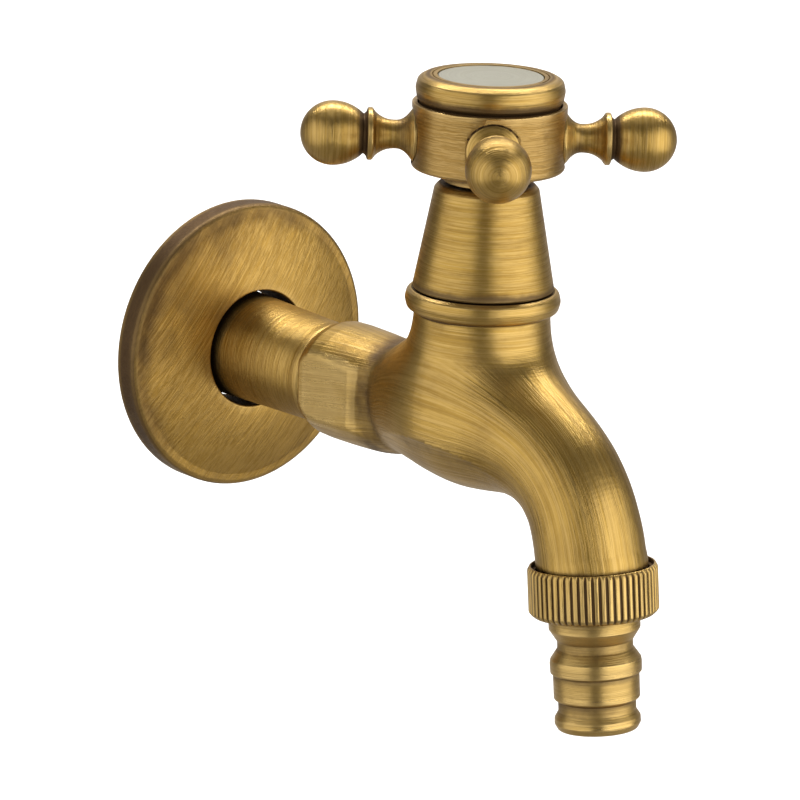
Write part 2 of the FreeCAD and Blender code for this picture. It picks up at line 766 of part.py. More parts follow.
def build_parts():
    azimuths = arm_azimuths()
    parts = [
        body_casting(),
        bonnet_cover(),
        cartridge_housing(),
        ring_seal("bonnet_oring", "thread_radius + 0.2", "0.6", "cover_seat - 0.6"),
        seat_seal(),
        ceramic_disc("fixed_ceramic_disc", DISC_FOOT, "x"),
        ceramic_disc("moving_ceramic_disc", DISC_MEET + " + face_gap", "y"),
        spindle(),
        spindle_orings(),
        flat_ring("thrust_washer", "spindle_radius + 0.05", "barrel_radius - 0.1",
                  SHOULDER, SHOULDER + " + washer_thick"),
        flat_ring("retaining_ring", "spindle_radius - 0.6", "spindle_radius + 1.1",
                  COLLAR_TOP + " + 0.1", COLLAR_TOP + " + 0.1 + washer_thick"),
        handle_hub(),
        flat_ring("screw_washer", "screw_radius + 0.15", "screw_head_radius + 0.4",
                  RECESS, RECESS + " + washer_thick"),
        handle_screw(),
        handle_cap(),
        cap_inlay(),
        wall_flange(),
        union_nut(),
        hose_nipple(),
        flat_ring("union_washer", "spout_bore", "thread_radius - 0.2",
                  TAIL_TOP + " - 1.5", TAIL_TOP, OUTLET, along_outlet()),
    ]
    for side in azimuths:
        parts.append(handle_arm(side, azimuths[side]))
    return parts


def check_document(parts):
    doc.recompute()
    for item in doc.Objects:
        if "Invalid" in item.State or "Error" in item.State:
            raise RuntimeError(f"{item.Name} failed: {item.State}")
    for item in parts:
        if item.Shape.isNull() or not item.Shape.isValid():
            raise RuntimeError(item.Label + " has no valid shape")


def write_parts(parts):
    os.makedirs("parts", exist_ok=True)
    for item in parts:
        item.Shape.exportStep(f"parts/{item.Label}.step")
        box = item.Shape.BoundBox
        print(f"{item.Label:22s} solids {len(item.Shape.Solids)}  "
              f"{box.XLength:6.1f} x {box.YLength:6.1f} x {box.ZLength:6.1f}  "
              f"{item.Shape.Volume / 1000:7.2f} cm3")


fill_sheet()
sub_parts = build_parts()
check_document(sub_parts)
write_parts(sub_parts)
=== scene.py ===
# %% [markdown]
# # A wall-mounted hose bib in antique brass
#
# This notebook dresses a small garden tap. The working design already exists as a
# frame: every part has its size and its place, in metres, and every moving part has
# its joint. Here each part that shows gets its finished surface: soft blends on the
# casting, crisp turned edges, fine ribs on the nut, and brushed antique brass that
# is dark in the recesses and worn bright along the edges.

# %% Load the frame
import json
import math
import bmesh
import bpy
import numpy as np
from mathutils import Matrix, Vector


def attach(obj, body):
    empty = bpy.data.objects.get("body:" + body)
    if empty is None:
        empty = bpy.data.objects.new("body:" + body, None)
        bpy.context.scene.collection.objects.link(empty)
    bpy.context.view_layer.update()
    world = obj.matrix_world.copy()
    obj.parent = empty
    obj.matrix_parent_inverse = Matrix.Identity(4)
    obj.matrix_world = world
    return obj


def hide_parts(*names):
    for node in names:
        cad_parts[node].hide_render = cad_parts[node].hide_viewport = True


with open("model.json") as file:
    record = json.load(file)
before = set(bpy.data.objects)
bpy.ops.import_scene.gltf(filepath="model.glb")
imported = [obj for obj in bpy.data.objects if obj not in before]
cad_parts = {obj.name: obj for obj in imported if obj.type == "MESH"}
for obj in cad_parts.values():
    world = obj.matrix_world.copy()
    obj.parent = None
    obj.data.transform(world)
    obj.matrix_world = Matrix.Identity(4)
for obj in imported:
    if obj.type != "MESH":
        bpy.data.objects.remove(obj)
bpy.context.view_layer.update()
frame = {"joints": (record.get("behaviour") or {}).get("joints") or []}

# %% [markdown]
# ## The three axes
#
# A tap is a machinist's object. Nearly every piece is round about one of three axes:
# the inlet axis, which runs into the wall, the bonnet axis, which stands upright, and
# the outlet axis, which leans a little forward. Writing each piece in the millimetres
# of its own axis keeps the numbers readable, so three matrices carry them into the frame.

# %% Axes
MM = 0.001
REACH = -1000 * next(j for j in frame["joints"] if j["name"] == "handle_turn")["pos_m"][1]
NUT = next(j for j in frame["joints"] if j["name"] == "nut_turn")
OUTLET_AXIS = Vector(NUT["axis"]).normalized()
OUTLET_TOP = Vector(NUT["pos_m"]) * 1000 - 4.65 * OUTLET_AXIS
TILT = math.atan2(-OUTLET_AXIS.y, -OUTLET_AXIS.z)

INLET = Matrix.Rotation(math.pi / 2, 4, "X")
BONNET = Matrix.Translation((0, -REACH, 0))
OUTLET = Matrix.Translation(OUTLET_TOP) @ Matrix.Rotation(math.pi - TILT, 4, "X")
print("bonnet axis stands", REACH, "mm from the wall")
print("the outlet leans", round(math.degrees(TILT), 2), "degrees")

# %% [markdown]
# ## A lathe
#
# Most of the pieces are turned. A lathe needs one thing, the outline that the tool
# follows, so the helper takes corners as (radius, height, rounding) and rounds each
# one with a short arc. A corner that is truly sharp reflects nothing, and a real tool
# always leaves a small radius, so even the crisp edges here get a tenth of a
# millimetre. Short runs beside each arc keep the flats flat when light crosses them.

# %% Rounded outline
def rounded(corners, closed=True, steps=7):
    """Points along an outline whose corners are (x, y, rounding)."""
    out = []
    count = len(corners)
    for i, corner in enumerate(corners):
        here = np.array(corner[:2], float)
        size = corner[2] if len(corner) > 2 else 0.0
        if not closed and i in (0, count - 1):
            out.append(here)
            continue
        before = np.array(corners[i - 1][:2], float) - here
        after = np.array(corners[(i + 1) % count][:2], float) - here
        a = before / np.linalg.norm(before)
        b = after / np.linalg.norm(after)
        bend = math.acos(max(-1.0, min(1.0, float(a @ b))))
        if size <= 0 or bend > math.pi - 0.02:
            out.append(here)
            continue
        cut = size / math.tan(bend / 2)
        cut = min(cut, 0.46 * np.linalg.norm(before), 0.46 * np.linalg.norm(after))
        size = cut * math.tan(bend / 2)
        middle = here + (a + b) / np.linalg.norm(a + b) * size / math.sin(bend / 2)
        start = here + a * cut - middle
        end = here + b * cut - middle
        sweep = math.atan2(start[0] * end[1] - start[1] * end[0], float(start @ end))
        for k in range(steps + 1):
            angle = sweep * k / steps
            turn = np.array([[math.cos(angle), -math.sin(angle)], [math.sin(angle), math.cos(angle)]])
            out.append(middle + turn @ start)
    return np.array(out)


def with_supports(points, closed=True, longest=0.9, hold=0.12):
    """Adds points close to the ends of long runs, then divides the runs."""
    out = []
    count = len(points)
    last = count if closed else count - 1
    for i in range(last):
        a, b = points[i], points[(i + 1) % count]
        length = float(np.linalg.norm(b - a))
        out.append(a)
        if length > 4 * hold:
            parts = max(1, round((length - 2 * hold) / longest))
            for k in range(parts + 1):
                along = (hold + (length - 2 * hold) * k / parts) / length
                out.append(a + (b - a) * along)
    if not closed:
        out.append(points[-1])
    return np.array(out)


# %% [markdown]
# Brushing, wear and dirt all follow the shape, so the lathe also writes three facts on
# every point. `brush` is a position that is squeezed along the direction in which the
# metal was brushed, so that noise read from it comes out as long scratches. The second fact is
# high on edges that stand proud, where handling has polished the brown away, and on the wrench
# flats it also carries a painted sheen. The third is high in grooves and corners, where the
# patina stays, and on the flange and the casting's shoulder it also carries painted shade.

# %% Facts for the finish
ALONG = 0.022


def profile_facts(points, closed=True, reach=0.9):
    """Values for worn edges and for hollows along an outline, from how it bends over a short distance."""
    count = len(points)
    nxt = np.roll(points, -1, 0)
    step = np.linalg.norm(nxt - points, axis=1)
    where = np.concatenate([[0], np.cumsum(step)[:-1]])
    total = step.sum()
    ahead = nxt - points
    behind = points - np.roll(points, 1, 0)
    turn = np.arctan2(behind[:, 0] * ahead[:, 1] - behind[:, 1] * ahead[:, 0], (behind * ahead).sum(1))
    if not closed:
        turn[0] = turn[-1] = 0.0
    gap = np.abs(where[:, None] - where[None, :])
    if closed:
        gap = np.minimum(gap, total - gap)
    near = np.exp(-(gap / (0.35 * reach)) ** 2)
    far = np.exp(-(gap / (1.3 * reach)) ** 2)
    convex = near @ np.maximum(turn, 0)
    concave = far @ np.maximum(-turn, 0)
    return where, np.clip(convex / 1.2, 0, 1), np.clip(concave / 1.6, 0, 1)


def weld(mesh):
    """Merges the points that coincide where a turned outline meets its axis."""
    bm = bmesh.new()
    bm.from_mesh(mesh)
    bmesh.ops.remove_doubles(bm, verts=bm.verts, dist=1e-7)
    bmesh.ops.dissolve_degenerate(bm, edges=bm.edges, dist=1e-8)
    bm.to_mesh(mesh)
    bm.free()


def finish_mesh(name, verts, faces, brush, wear, cavity, sharp_degrees=40):
    mesh = bpy.data.meshes.new(name)
    mesh.from_pydata([tuple(v) for v in verts], [], faces)
    facts = (("brush", "FLOAT_VECTOR", brush), ("wear", "FLOAT", wear), ("cavity", "FLOAT", cavity))
    for label, kind, data in facts:
        layer = mesh.attributes.new(label, kind, "POINT")
        key = "vector" if kind == "FLOAT_VECTOR" else "value"
        layer.data.foreach_set(key, np.asarray(data, np.float32).ravel())
    weld(mesh)
    mesh.shade_smooth()
    if sharp_degrees:
        mesh.set_sharp_from_angle(angle=math.radians(sharp_degrees))
    piece = bpy.data.objects.new(name, mesh)
    bpy.context.scene.collection.objects.link(piece)
    return piece


def lathe(name, corners, place, segments=180, closed=True, flow=None):
    """Turns an outline about local Z. Its inside lies to the left of the outline."""
    points = with_supports(rounded(corners, closed), closed)
    where, wear, cavity = profile_facts(points, closed)
    count = len(points)
    angles = np.arange(segments) * 2 * math.pi / segments
    radius = np.maximum(points[:, 0], 0.0)
    x = np.outer(np.cos(angles), radius)
    y = np.outer(np.sin(angles), radius)
    z = np.tile(points[:, 1], (segments, 1))
    local = np.stack([x, y, z], -1).reshape(-1, 3)
    if flow is None:
        brush = np.stack([x * ALONG, y * ALONG, np.tile(where, (segments, 1))], -1).reshape(-1, 3)
    else:
        brush = flow(local)
    matrix = np.array(place)
    world = (local @ matrix[:3, :3].T + matrix[:3, 3]) * MM
    faces = []
    runs = count if closed else count - 1
    for i in range(segments):
        j = (i + 1) % segments
        for k in range(runs):
            m = (k + 1) % count
            faces.append((i * count + k, j * count + k, j * count + m, i * count + m))
    return finish_mesh(name, world, faces, brush, np.tile(wear, segments), np.tile(cavity, segments))


def add_patina_wear_and_painted_light(piece, amount, layer="cavity"):
    """Adds to a layer by place: patina and wear, and on some pieces painted shade and painted sheen; amount
    takes the points in millimetres.
    """
    mesh = piece.data
    points = np.empty(len(mesh.vertices) * 3, np.float32)
    mesh.vertices.foreach_get("co", points)
    points = points.reshape(-1, 3) / MM
    values = np.empty(len(points), np.float32)
    mesh.attributes[layer].data.foreach_get("value", values)
    values = np.clip(values + amount(points[:, 0], points[:, 1], points[:, 2]), 0, 1)
    mesh.attributes[layer].data.foreach_set("value", values.astype(np.float32))


def shape_report(piece):
    size = [round(1000 * d, 1) for d in piece.dimensions]
    print(f"{piece.name}: {len(piece.data.polygons)} faces, {size} mm")


# %% [markdown]
# ## The casting
#
# The body is one casting, and castings have no hard corners: the sand and the polishing
# mop both round them. A good way to get that softness is to describe the body as a
# distance. The waterway is a string of balls whose radius changes along a bent path,
# the bonnet neck is an upright cylinder, and a smooth minimum of the two distances
# flows one into the other like wax. The surface is then walked out of a grid.

# %% The waterway and the neck
OUT_R = 10.25
PATH = np.array([
    (-54.0, 0.35, 9.6), (-57.6, 0.95, 10.15), (-61.3, 2.1, 11.9), (-66.0, 2.62, 13.05), (-70.1, 2.62, 13.66),
    (-75.0, 2.49, 13.9), (-79.1, 2.40, 13.48), (-84.2, 2.10, 12.47), (-88.4, 1.46, 11.55), (-93.5, 0.0, 10.7),
    (-97.4, -1.85, 10.27), (-100.7, -4.2, 10.05), (-103.57, -7.49, 9.98), (-105.3, -10.6, 10.03),
    (-106.7, -14.2, 10.15), (-107.6, -17.6, 10.22), (OUTLET_TOP.y, OUTLET_TOP.z - 0.4, OUT_R),
    (OUTLET_TOP.y + 5 * OUTLET_AXIS.y, OUTLET_TOP.z + 5 * OUTLET_AXIS.z, OUT_R)])


def smooth_path(points, count):
    """A Catmull-Rom curve through the points, evenly divided."""
    padded = np.vstack([2 * points[0] - points[1], points, 2 * points[-1] - points[-2]])
    dense = []
    for i in range(1, len(padded) - 2):
        p0, p1, p2, p3 = padded[i - 1:i + 3]
        for t in np.linspace(0, 1, 24, endpoint=False):
            dense.append(0.5 * (2 * p1 + (p2 - p0) * t + (2 * p0 - 5 * p1 + 4 * p2 - p3) * t * t
                                + (3 * p1 - p0 - 3 * p2 + p3) * t ** 3))
    dense.append(padded[-2])
    dense = np.array(dense)
    run = np.concatenate([[0], np.cumsum(np.linalg.norm(np.diff(dense[:, :2], axis=0), axis=1))])
    even = np.linspace(0, run[-1], count)
    return np.stack([np.interp(even, run, dense[:, k]) for k in range(3)], 1), even


WATERWAY, WATERWAY_RUN = smooth_path(PATH, 130)

LIP_Y = -32.3
WRENCH_OUTLINE = np.array([
    (LIP_Y, 10.2), (-33.0, 10.62), (-34.0, 11.02), (-35.2, 11.32), (-38.0, 11.42), (-44.0, 11.3),
    (-48.5, 11.1),
    (-50.5, 10.95), (-52.0, 10.75), (-53.6, 10.4), (-55.2, 9.95), (-56.5, 9.3), (-58.0, 8.3), (-60.0, 6.5)])
FLAT_OUTLINE = np.array([
    (-32.0, 9.45), (-47.2, 9.45), (-49.0, 9.25), (-51.0, 8.9), (-54.0, 8.2), (-57.0, 7.1), (-60.0, 5.5)])


def smin(a, b, k):
    """The smaller of two distances, blended where they are within k of each other."""
    mix = np.maximum(k - np.abs(a - b), 0) / k
    return np.minimum(a, b) - mix ** 3 * k / 6


def smax(a, b, k):
    return -smin(-a, -b, k)


def body_distance(p):
    """Distance to the casting's surface, in millimetres, negative inside the metal."""
    x, y, z = p[:, 0], p[:, 1], p[:, 2]
    pipe = np.full(len(p), 1e9)
    for cy, cz, r in WATERWAY:
        pipe = np.minimum(pipe, np.sqrt(x * x + (y - cy) ** 2 + (z - cz) ** 2) - r)
    turned = np.sqrt(x * x + z * z) - np.interp(-y, -WRENCH_OUTLINE[:, 0], WRENCH_OUTLINE[:, 1])
    flats = np.abs(x) - np.interp(-y, -FLAT_OUTLINE[:, 0], FLAT_OUTLINE[:, 1])
    wrench = np.maximum(smax(turned, flats, 0.5) * 0.95, -60.0 - y)
    wrench = smax(wrench, y - LIP_Y, 0.4)
    neck = np.maximum(np.sqrt(x * x + (y + REACH) ** 2) - 12.62, 2.0 - z)
    front = smin(pipe, neck, 12.0)
    return smin(front, wrench, 3.0)


# %% Walk the surface out of a grid
def surface_from(distance, low, high, cell):
    """Surface nets: one point in each cell that the surface crosses, then quads."""
    shape = np.ceil((np.array(high) - np.array(low)) / cell).astype(int) + 1
    axes = [low[k] + cell * np.arange(shape[k]) for k in range(3)]
    grid = np.stack(np.meshgrid(*axes, indexing="ij"), -1).reshape(-1, 3)
    field = np.concatenate([distance(block) for block in np.array_split(grid, 12)]).reshape(shape)
    inside = field < 0
    cells = shape - 1
    total = np.zeros((*cells, 3))
    hits = np.zeros(cells)
    for axis in range(3):
        for u in (0, 1):
            for v in (0, 1):
                start = [slice(0, cells[k]) for k in range(3)]
                others = [k for k in range(3) if k != axis]
                start[others[0]] = slice(u, u + cells[others[0]])
                start[others[1]] = slice(v, v + cells[others[1]])
                end = list(start)
                end[axis] = slice(1, 1 + cells[axis])
                a, b = field[tuple(start)], field[tuple(end)]
                cross = (a < 0) != (b < 0)
                t = np.where(cross, a / np.where(cross, a - b, 1), 0)
                point = np.zeros((*cells, 3))
                point[..., axis] = t
                point[..., others[0]] = u
                point[..., others[1]] = v
                total += point * cross[..., None]
                hits += cross
    active = hits > 0
    index = np.full(cells, -1)
    index[active] = np.arange(active.sum())
    corner = np.argwhere(active)
    verts = (corner + total[active] / hits[active][:, None]) * cell + np.array(low)
    faces = []
    for axis in range(3):
        others = [k for k in range(3) if k != axis]
        a = [slice(1, cells[k]) for k in range(3)]
        a[axis] = slice(0, cells[axis])
        b = list(a)
        b[axis] = slice(1, 1 + cells[axis])
        first, second = inside[tuple(a)], inside[tuple(b)]
        flip = axis == 1
        for leaving in (True, False):
            where = np.argwhere((first != second) & (first == leaving)) + np.array(
                [0 if k == axis else 1 for k in range(3)])
            quad = []
            for du, dv in ((0, 0), (1, 0), (1, 1), (0, 1)):
                spot = where.copy()
                spot[:, others[0]] -= du
                spot[:, others[1]] -= dv
                quad.append(index[spot[:, 0], spot[:, 1], spot[:, 2]])
            quad = np.stack(quad, 1)
            faces.append(quad if leaving != flip else quad[:, ::-1])
    return verts, np.concatenate(faces)


def gradient(distance, points, step=0.02):
    columns = []
    for axis in range(3):
        shift = np.zeros(3)
        shift[axis] = step
        columns.append((distance(points + shift) - distance(points - shift)) / (2 * step))
    return np.stack(columns, 1)


def settle(distance, points, times=3):
    """Moves points straight onto the surface."""
    for _ in range(times):
        slope = gradient(distance, points)
        size = (slope ** 2).sum(1, keepdims=True)
        points = points - distance(points)[:, None] * slope / np.maximum(size, 1e-6)
    return points


def even_out(points, faces, times=3):
    """Slides points toward the middle of their neighbours, to even out the quads."""
    for _ in range(times):
        total = np.zeros_like(points)
        hits = np.zeros(len(points))
        for k in range(4):
            a, b = faces[:, k], faces[:, (k + 1) % 4]
            np.add.at(total, a, points[b])
            np.add.at(total, b, points[a])
            np.add.at(hits, a, 1)
            np.add.at(hits, b, 1)
        points = 0.4 * points + 0.6 * total / np.maximum(hits, 1)[:, None]
    return points


CELL = 0.62
skin, quads = surface_from(body_distance, (-16.0, -123.0, -27.0), (16.0, -30.0, 28.0), CELL)
for _ in range(2):
    skin = settle(body_distance, even_out(skin, quads), 2)
print("casting skin:", len(skin), "points, furthest from the surface:",
      round(float(np.abs(body_distance(skin)).max()), 4), "mm")

# %% [markdown]
# The skin is kept only where it shows or is needed: it starts at the lip of the wrench
# section, stops inside the bead, and stops inside the union nut. Brushing on the casting
# follows the waterway, but on the neck it goes round, as a mop would, so each point
# carries both directions and a share that says which one wins.

# %% Trim the skin and give it its brushing
BEAD_Z = 23.6


def waterway_place(p):
    """How far along the waterway a point lies, and its offset above the centre line."""
    line = WATERWAY[:, :2]
    best = np.full(len(p), 1e9)
    run = np.zeros(len(p))
    above = np.zeros(len(p))
    slope = np.gradient(line, axis=0)
    slope /= np.linalg.norm(slope, axis=1, keepdims=True)
    for i in range(len(line) - 1):
        leg = line[i + 1] - line[i]
        t = np.clip(((p[:, 1:] - line[i]) @ leg) / (leg @ leg), 0, 1)
        away = p[:, 1:] - line[i] - t[:, None] * leg
        d = (away ** 2).sum(1)
        nearer = d < best
        best[nearer] = d[nearer]
        run[nearer] = (WATERWAY_RUN[i] + t * np.linalg.norm(leg))[nearer]
        along = slope[i] + t[:, None] * (slope[i + 1] - slope[i])
        above[nearer] = (away[:, 0] * along[:, 1] - away[:, 1] * along[:, 0])[nearer]
    return run, above


def casting_mesh():
    outlet_run = (skin - np.array(OUTLET_TOP)) @ np.array(OUTLET_AXIS)
    lip_face = (skin[:, 1] > LIP_Y - 0.5) & (np.hypot(skin[:, 0], skin[:, 2]) < 8.6)
    keep = ~lip_face & (skin[:, 2] < BEAD_Z) & ~((outlet_run > 0.7) & (skin[:, 1] < -90))
    used = keep[quads].all(1)
    faces = quads[used]
    middle = skin[faces].mean(1)
    out = np.cross(skin[faces[:, 1]] - skin[faces[:, 0]], skin[faces[:, 2]] - skin[faces[:, 1]])
    if (out * gradient(body_distance, middle)).sum(1).mean() < 0:
        faces = faces[:, ::-1]
    order = np.unique(faces)
    renumber = np.full(len(skin), -1)
    renumber[order] = np.arange(len(order))
    points = skin[order]
    normals = gradient(body_distance, points)
    normals /= np.linalg.norm(normals, axis=1, keepdims=True)
    open_air = body_distance(points + 3.0 * normals) / 3.0
    buried = -body_distance(points - 3.0 * normals) / 3.0
    cavity = np.clip((1 - open_air) * 1.6, 0, 1)
    wear = np.clip((1 - buried) * 0.8, 0, 1)
    run, above = waterway_place(points)
    run = np.where(points[:, 1] > PATH[0, 0], PATH[0, 0] - points[:, 1], run)
    side = np.arctan2(points[:, 0], above)
    brush = np.stack([run * ALONG, 12 * np.cos(side), 12 * np.sin(side)], 1)
    neck_share = np.clip((points[:, 2] - 11.0) / 7.0, 0, 1)
    neck_share = neck_share ** 2 * (3 - 2 * neck_share)
    around = np.stack([points[:, 0] * ALONG, (points[:, 1] + REACH) * ALONG, points[:, 2]], 1)
    piece = finish_mesh("casting", points * MM, [tuple(f) for f in renumber[faces]], brush, wear, cavity, 0)
    layer = piece.data.attributes.new("brush_round", "FLOAT_VECTOR", "POINT")
    layer.data.foreach_set("vector", around.astype(np.float32).ravel())
    layer = piece.data.attributes.new("round_share", "FLOAT", "POINT")
    layer.data.foreach_set("value", neck_share.astype(np.float32))
    piece.data.normals_split_custom_set_from_vertices([tuple(n) for n in normals])
    return piece


casting = casting_mesh()
WRENCH_END, WRENCH_FADE = 52.0, 5.2
# Painted shade: a darker band where the wrench section ends and the shoulder turns down into the neck, on top
# of the patina in the neck's hollow.
add_patina_wear_and_painted_light(casting, lambda x, y, z: 0.5 * np.exp(-((y + WRENCH_END) / WRENCH_FADE) ** 2))
# Painted sheen: both wrench flats are made brighter along their length, through the wear layer.
add_patina_wear_and_painted_light(casting, lambda x, y, z: 0.75 * (np.abs(x) > 8.6) * (y > -50) * (y < -34), "wear")
shape_report(casting)

# %% [markdown]
# ## The inlet tube
#
# The tube is turned, and swells a little just before the wrench section, where a fine
# groove parts the two. The pipe thread behind the wall is a true helix with fourteen
# turns to the inch, because anyone who looks at the tap from behind sees it first.

# %% Turned tube
def apply_modifiers(piece):
    dg = bpy.context.evaluated_depsgraph_get()
    mesh = bpy.data.meshes.new_from_object(piece.evaluated_get(dg))
    old = piece.data
    piece.modifiers.clear()
    piece.data = mesh
    bpy.data.meshes.remove(old)
    mesh.name = piece.name


def carve(piece, cutters):
    for cutter in cutters:
        step = piece.modifiers.new("cut", "BOOLEAN")
        step.operation = "DIFFERENCE"
        step.solver = "EXACT"
        step.object = cutter
    apply_modifiers(piece)
    for cutter in cutters:
        bpy.data.objects.remove(cutter)


tube_corners = [(6.5, -14.9, 0.15), (9.3, -14.9, 0.1), (9.3, 0.0), (10.62, 0.0, 0.15), (9.83, 29.6, 0.8),
                (9.93, 31.3, 0.6), (9.8, 32.15, 0.2), (9.3, 32.7), (7.9, 34.0), (7.9, 53.5), (6.5, 53.5)]
inlet_tube = lathe("inlet_tube", tube_corners, INLET, 220)
shape_report(inlet_tube)

# %% Pipe thread
PITCH = 25.4 / 14


def thread_mesh(name, place, start, end, crest, root, run_in=0.3):
    """A helical thread about local Z that fades in at its start and leads in at its end."""
    around = 144
    rows = int((end - start) / 0.125)
    angle = np.arange(around) * 2 * math.pi / around
    a, d = np.meshgrid(angle, np.linspace(start, end, rows), indexing="ij")
    turn = (d / PITCH - a / (2 * math.pi)) % 1.0
    ridge = np.clip(1.18 - 2.36 * np.abs(turn - 0.5), 0, 1)
    ridge = ridge * ridge * (3 - 2 * ridge)
    fade = np.clip((end - d) / 1.4, 0, 1) * np.clip((d - start - run_in) / 1.2, 0, 1)
    r = root + (crest - root) * ridge * fade
    local = np.stack([r * np.cos(a), r * np.sin(a), d], -1).reshape(-1, 3)
    matrix = np.array(place)
    world = (local @ matrix[:3, :3].T + matrix[:3, 3]) * MM
    brush = local * np.array([ALONG, ALONG, 1.0])
    faces = [(i * rows + k, (i + 1) % around * rows + k, (i + 1) % around * rows + k + 1, i * rows + k + 1)
             for i in range(around) for k in range(rows - 1)]
    return finish_mesh(name, world, faces, brush, (ridge * 0.8).ravel(), ((1 - ridge) * 0.8).ravel(), 0)


INTO_WALL = Matrix.Rotation(-math.pi / 2, 4, "X")
inlet_thread = thread_mesh("inlet_thread", INTO_WALL, 0.0, 14.95, 10.46, 9.32)
outlet_thread = thread_mesh("outlet_thread", OUTLET, 0.3, 4.95, 10.38, 9.35, 0.1)
shape_report(inlet_thread)

# %% Mouth of the spout
mouth_corners = [(6.6, -5.0), (9.2, -5.0), (9.3, 4.9, 0.3), (6.6, 4.9, 0.3)]
mouth = lathe("spout_mouth", mouth_corners, OUTLET, 120)

# %% [markdown]
# ## Bead and bonnet cover
#
# The bead is a half-round moulding at the top of the neck. The conical cover stands
# just inside it, and the thin gap between them holds the darkest patina on the tap.

# %% Bead and cover
SEAT = 26.6
bead_corners = [(10.6, 21.2), (12.62, 21.2), (12.66, 22.25, 0.25), (13.2, 22.3, 0.3), (14.1, 22.9, 0.9),
                (14.5, 24.4, 1.4), (14.15, 25.9, 0.9), (13.35, 26.45, 0.25), (13.1, 26.2, 0.1), (10.6, 26.2)]
bead = lathe("bonnet_bead", bead_corners, BONNET, 220)
shape_report(bead)

COVER_TOP = SEAT + 19.7
cover_corners = [(11.9, SEAT + 0.02), (13.0, SEAT + 0.02, 0.12), (13.12, SEAT + 0.35, 0.1),
                 (9.72, COVER_TOP - 0.9, 1.0), (8.9, COVER_TOP - 0.02, 0.75),
                 (5.5, COVER_TOP - 0.02, 0.15), (5.5, COVER_TOP - 3.0),
                 (8.0, COVER_TOP - 3.4), (8.0, SEAT + 8), (11.2, SEAT + 3)]
cover = lathe("cover_cone", cover_corners, BONNET, 240)
add_patina_wear_and_painted_light(cover, lambda x, y, z: 1.3 * np.clip(1 - (z - SEAT) / 1.9, 0, 1))
shape_report(cover)

# %% [markdown]
# ## Handle
#
# The handle is a round hub with four turned arms screwed into it and a cap on top. A
# cutter faces a round seat on the hub for each arm before the arm goes in, and the
# shallow step that it leaves shows as a thin dark crescent behind each arm.

# %% Hub
HUB_LOW = COVER_TOP + 2.9
HUB_TOP = HUB_LOW + 12.2
ARM_Z = HUB_LOW + 5.9
hub_corners = [(4.1, HUB_LOW - 2.5), (8.1, HUB_LOW - 2.5, 0.25), (8.1, HUB_LOW, 0.3), (14.2, HUB_LOW, 0.75),
               (14.31, HUB_TOP, 0.22), (13.3, HUB_TOP, 0.12), (13.3, HUB_TOP - 2.55, 0.2),
               (4.1, HUB_TOP - 2.55)]
hub = lathe("hub_shell", hub_corners, BONNET, 260)
TURN = -37.1
AZIMUTHS = {"right": TURN, "back": TURN + 90, "left": TURN + 180, "front": TURN + 270}
ARM_START = 14.3 - 0.9


def arm_place(azimuth, start=ARM_START):
    out = Matrix.Rotation(math.radians(azimuth), 4, "Z") @ Matrix.Rotation(math.pi / 2, 4, "Y")
    axis = Vector((math.cos(math.radians(azimuth)), math.sin(math.radians(azimuth)), 0))
    return Matrix.Translation(Vector((0, -REACH, ARM_Z)) + axis * start) @ out


seat_tools = []
for side, azimuth in AZIMUTHS.items():
    tool = lathe("seat_tool_" + side, [(0, 0), (5.3, 0), (5.3, 6), (0, 6)], arm_place(azimuth), 96)
    seat_tools.append(tool)
carve(hub, seat_tools)
hub.data.set_sharp_from_angle(angle=math.radians(28))
shape_report(hub)

# %% Arms
BALL = 5.95
ARM_LENGTH = 21.24
CENTRE = ARM_LENGTH - BALL


def arm_corners():
    bead_at = CENTRE - 6.5
    root = [(0, 0.02), (4.95, 0.02, 0.1), (4.95, 0.55, 0.2), (4.5, 0.95)]
    for k in range(1, 12):
        t = k / 11
        root.append((2.66 + 1.84 * (1 - t) ** 2.3, 0.95 + 2.85 * t))
    rise = []
    for k in range(1, 9):
        t = k / 8
        rise.append((2.66 + 1.35 * t ** 2.4, 3.8 + (bead_at - 1.35 - 3.8) * t))
    ring = [(4.86, bead_at - 0.75, 0.35), (4.86, bead_at + 0.1, 0.35), (4.0, bead_at + 0.42, 0.12)]
    pear = []
    for k in range(1, 15):
        t = k / 14
        u = bead_at + 0.42 + (CENTRE - bead_at - 0.42) * t
        pear.append((BALL - 8.1 + math.sqrt(8.1 ** 2 - (CENTRE - u) ** 2), u))
    pear[0] = (pear[0][0], pear[0][1], 0.12)
    nose = [(BALL * math.cos(a), CENTRE + BALL * math.sin(a)) for a in np.linspace(0, math.pi / 2, 22)[1:-1]]
    return root + rise + ring + pear + nose + [(0, ARM_LENGTH)]


arms = []
for side, azimuth in AZIMUTHS.items():
    arm = lathe("arm_" + side, arm_corners(), arm_place(azimuth), 120, closed=False)
    arms.append(arm)
shape_report(arms[0])

# %% Cap and inlay
CAP_TOP = HUB_TOP + 5.1
cap_corners = [(11.7, HUB_TOP - 1.6), (13.0, HUB_TOP - 1.6), (12.98, HUB_TOP + 0.1, 0.4),
               (13.5, HUB_TOP + 0.85, 0.9), (13.8, HUB_TOP + 2.6, 1.6), (13.42, HUB_TOP + 4.3, 1.1),
               (12.3, CAP_TOP - 0.18, 0.9),
               (11.2, CAP_TOP - 0.02, 0.8), (10.86, CAP_TOP - 0.02, 0.05), (10.76, CAP_TOP - 0.3, 0.04),
               (10.66, CAP_TOP - 0.3, 0.04), (10.56, CAP_TOP - 0.02, 0.05), (9.83, CAP_TOP - 0.02, 0.07),
               (9.78, CAP_TOP - 1.1), (9.0, CAP_TOP - 1.1), (9.0, CAP_TOP - 2.3), (11.7, CAP_TOP - 2.3)]
cap = lathe("cap_shell", cap_corners, BONNET, 260)
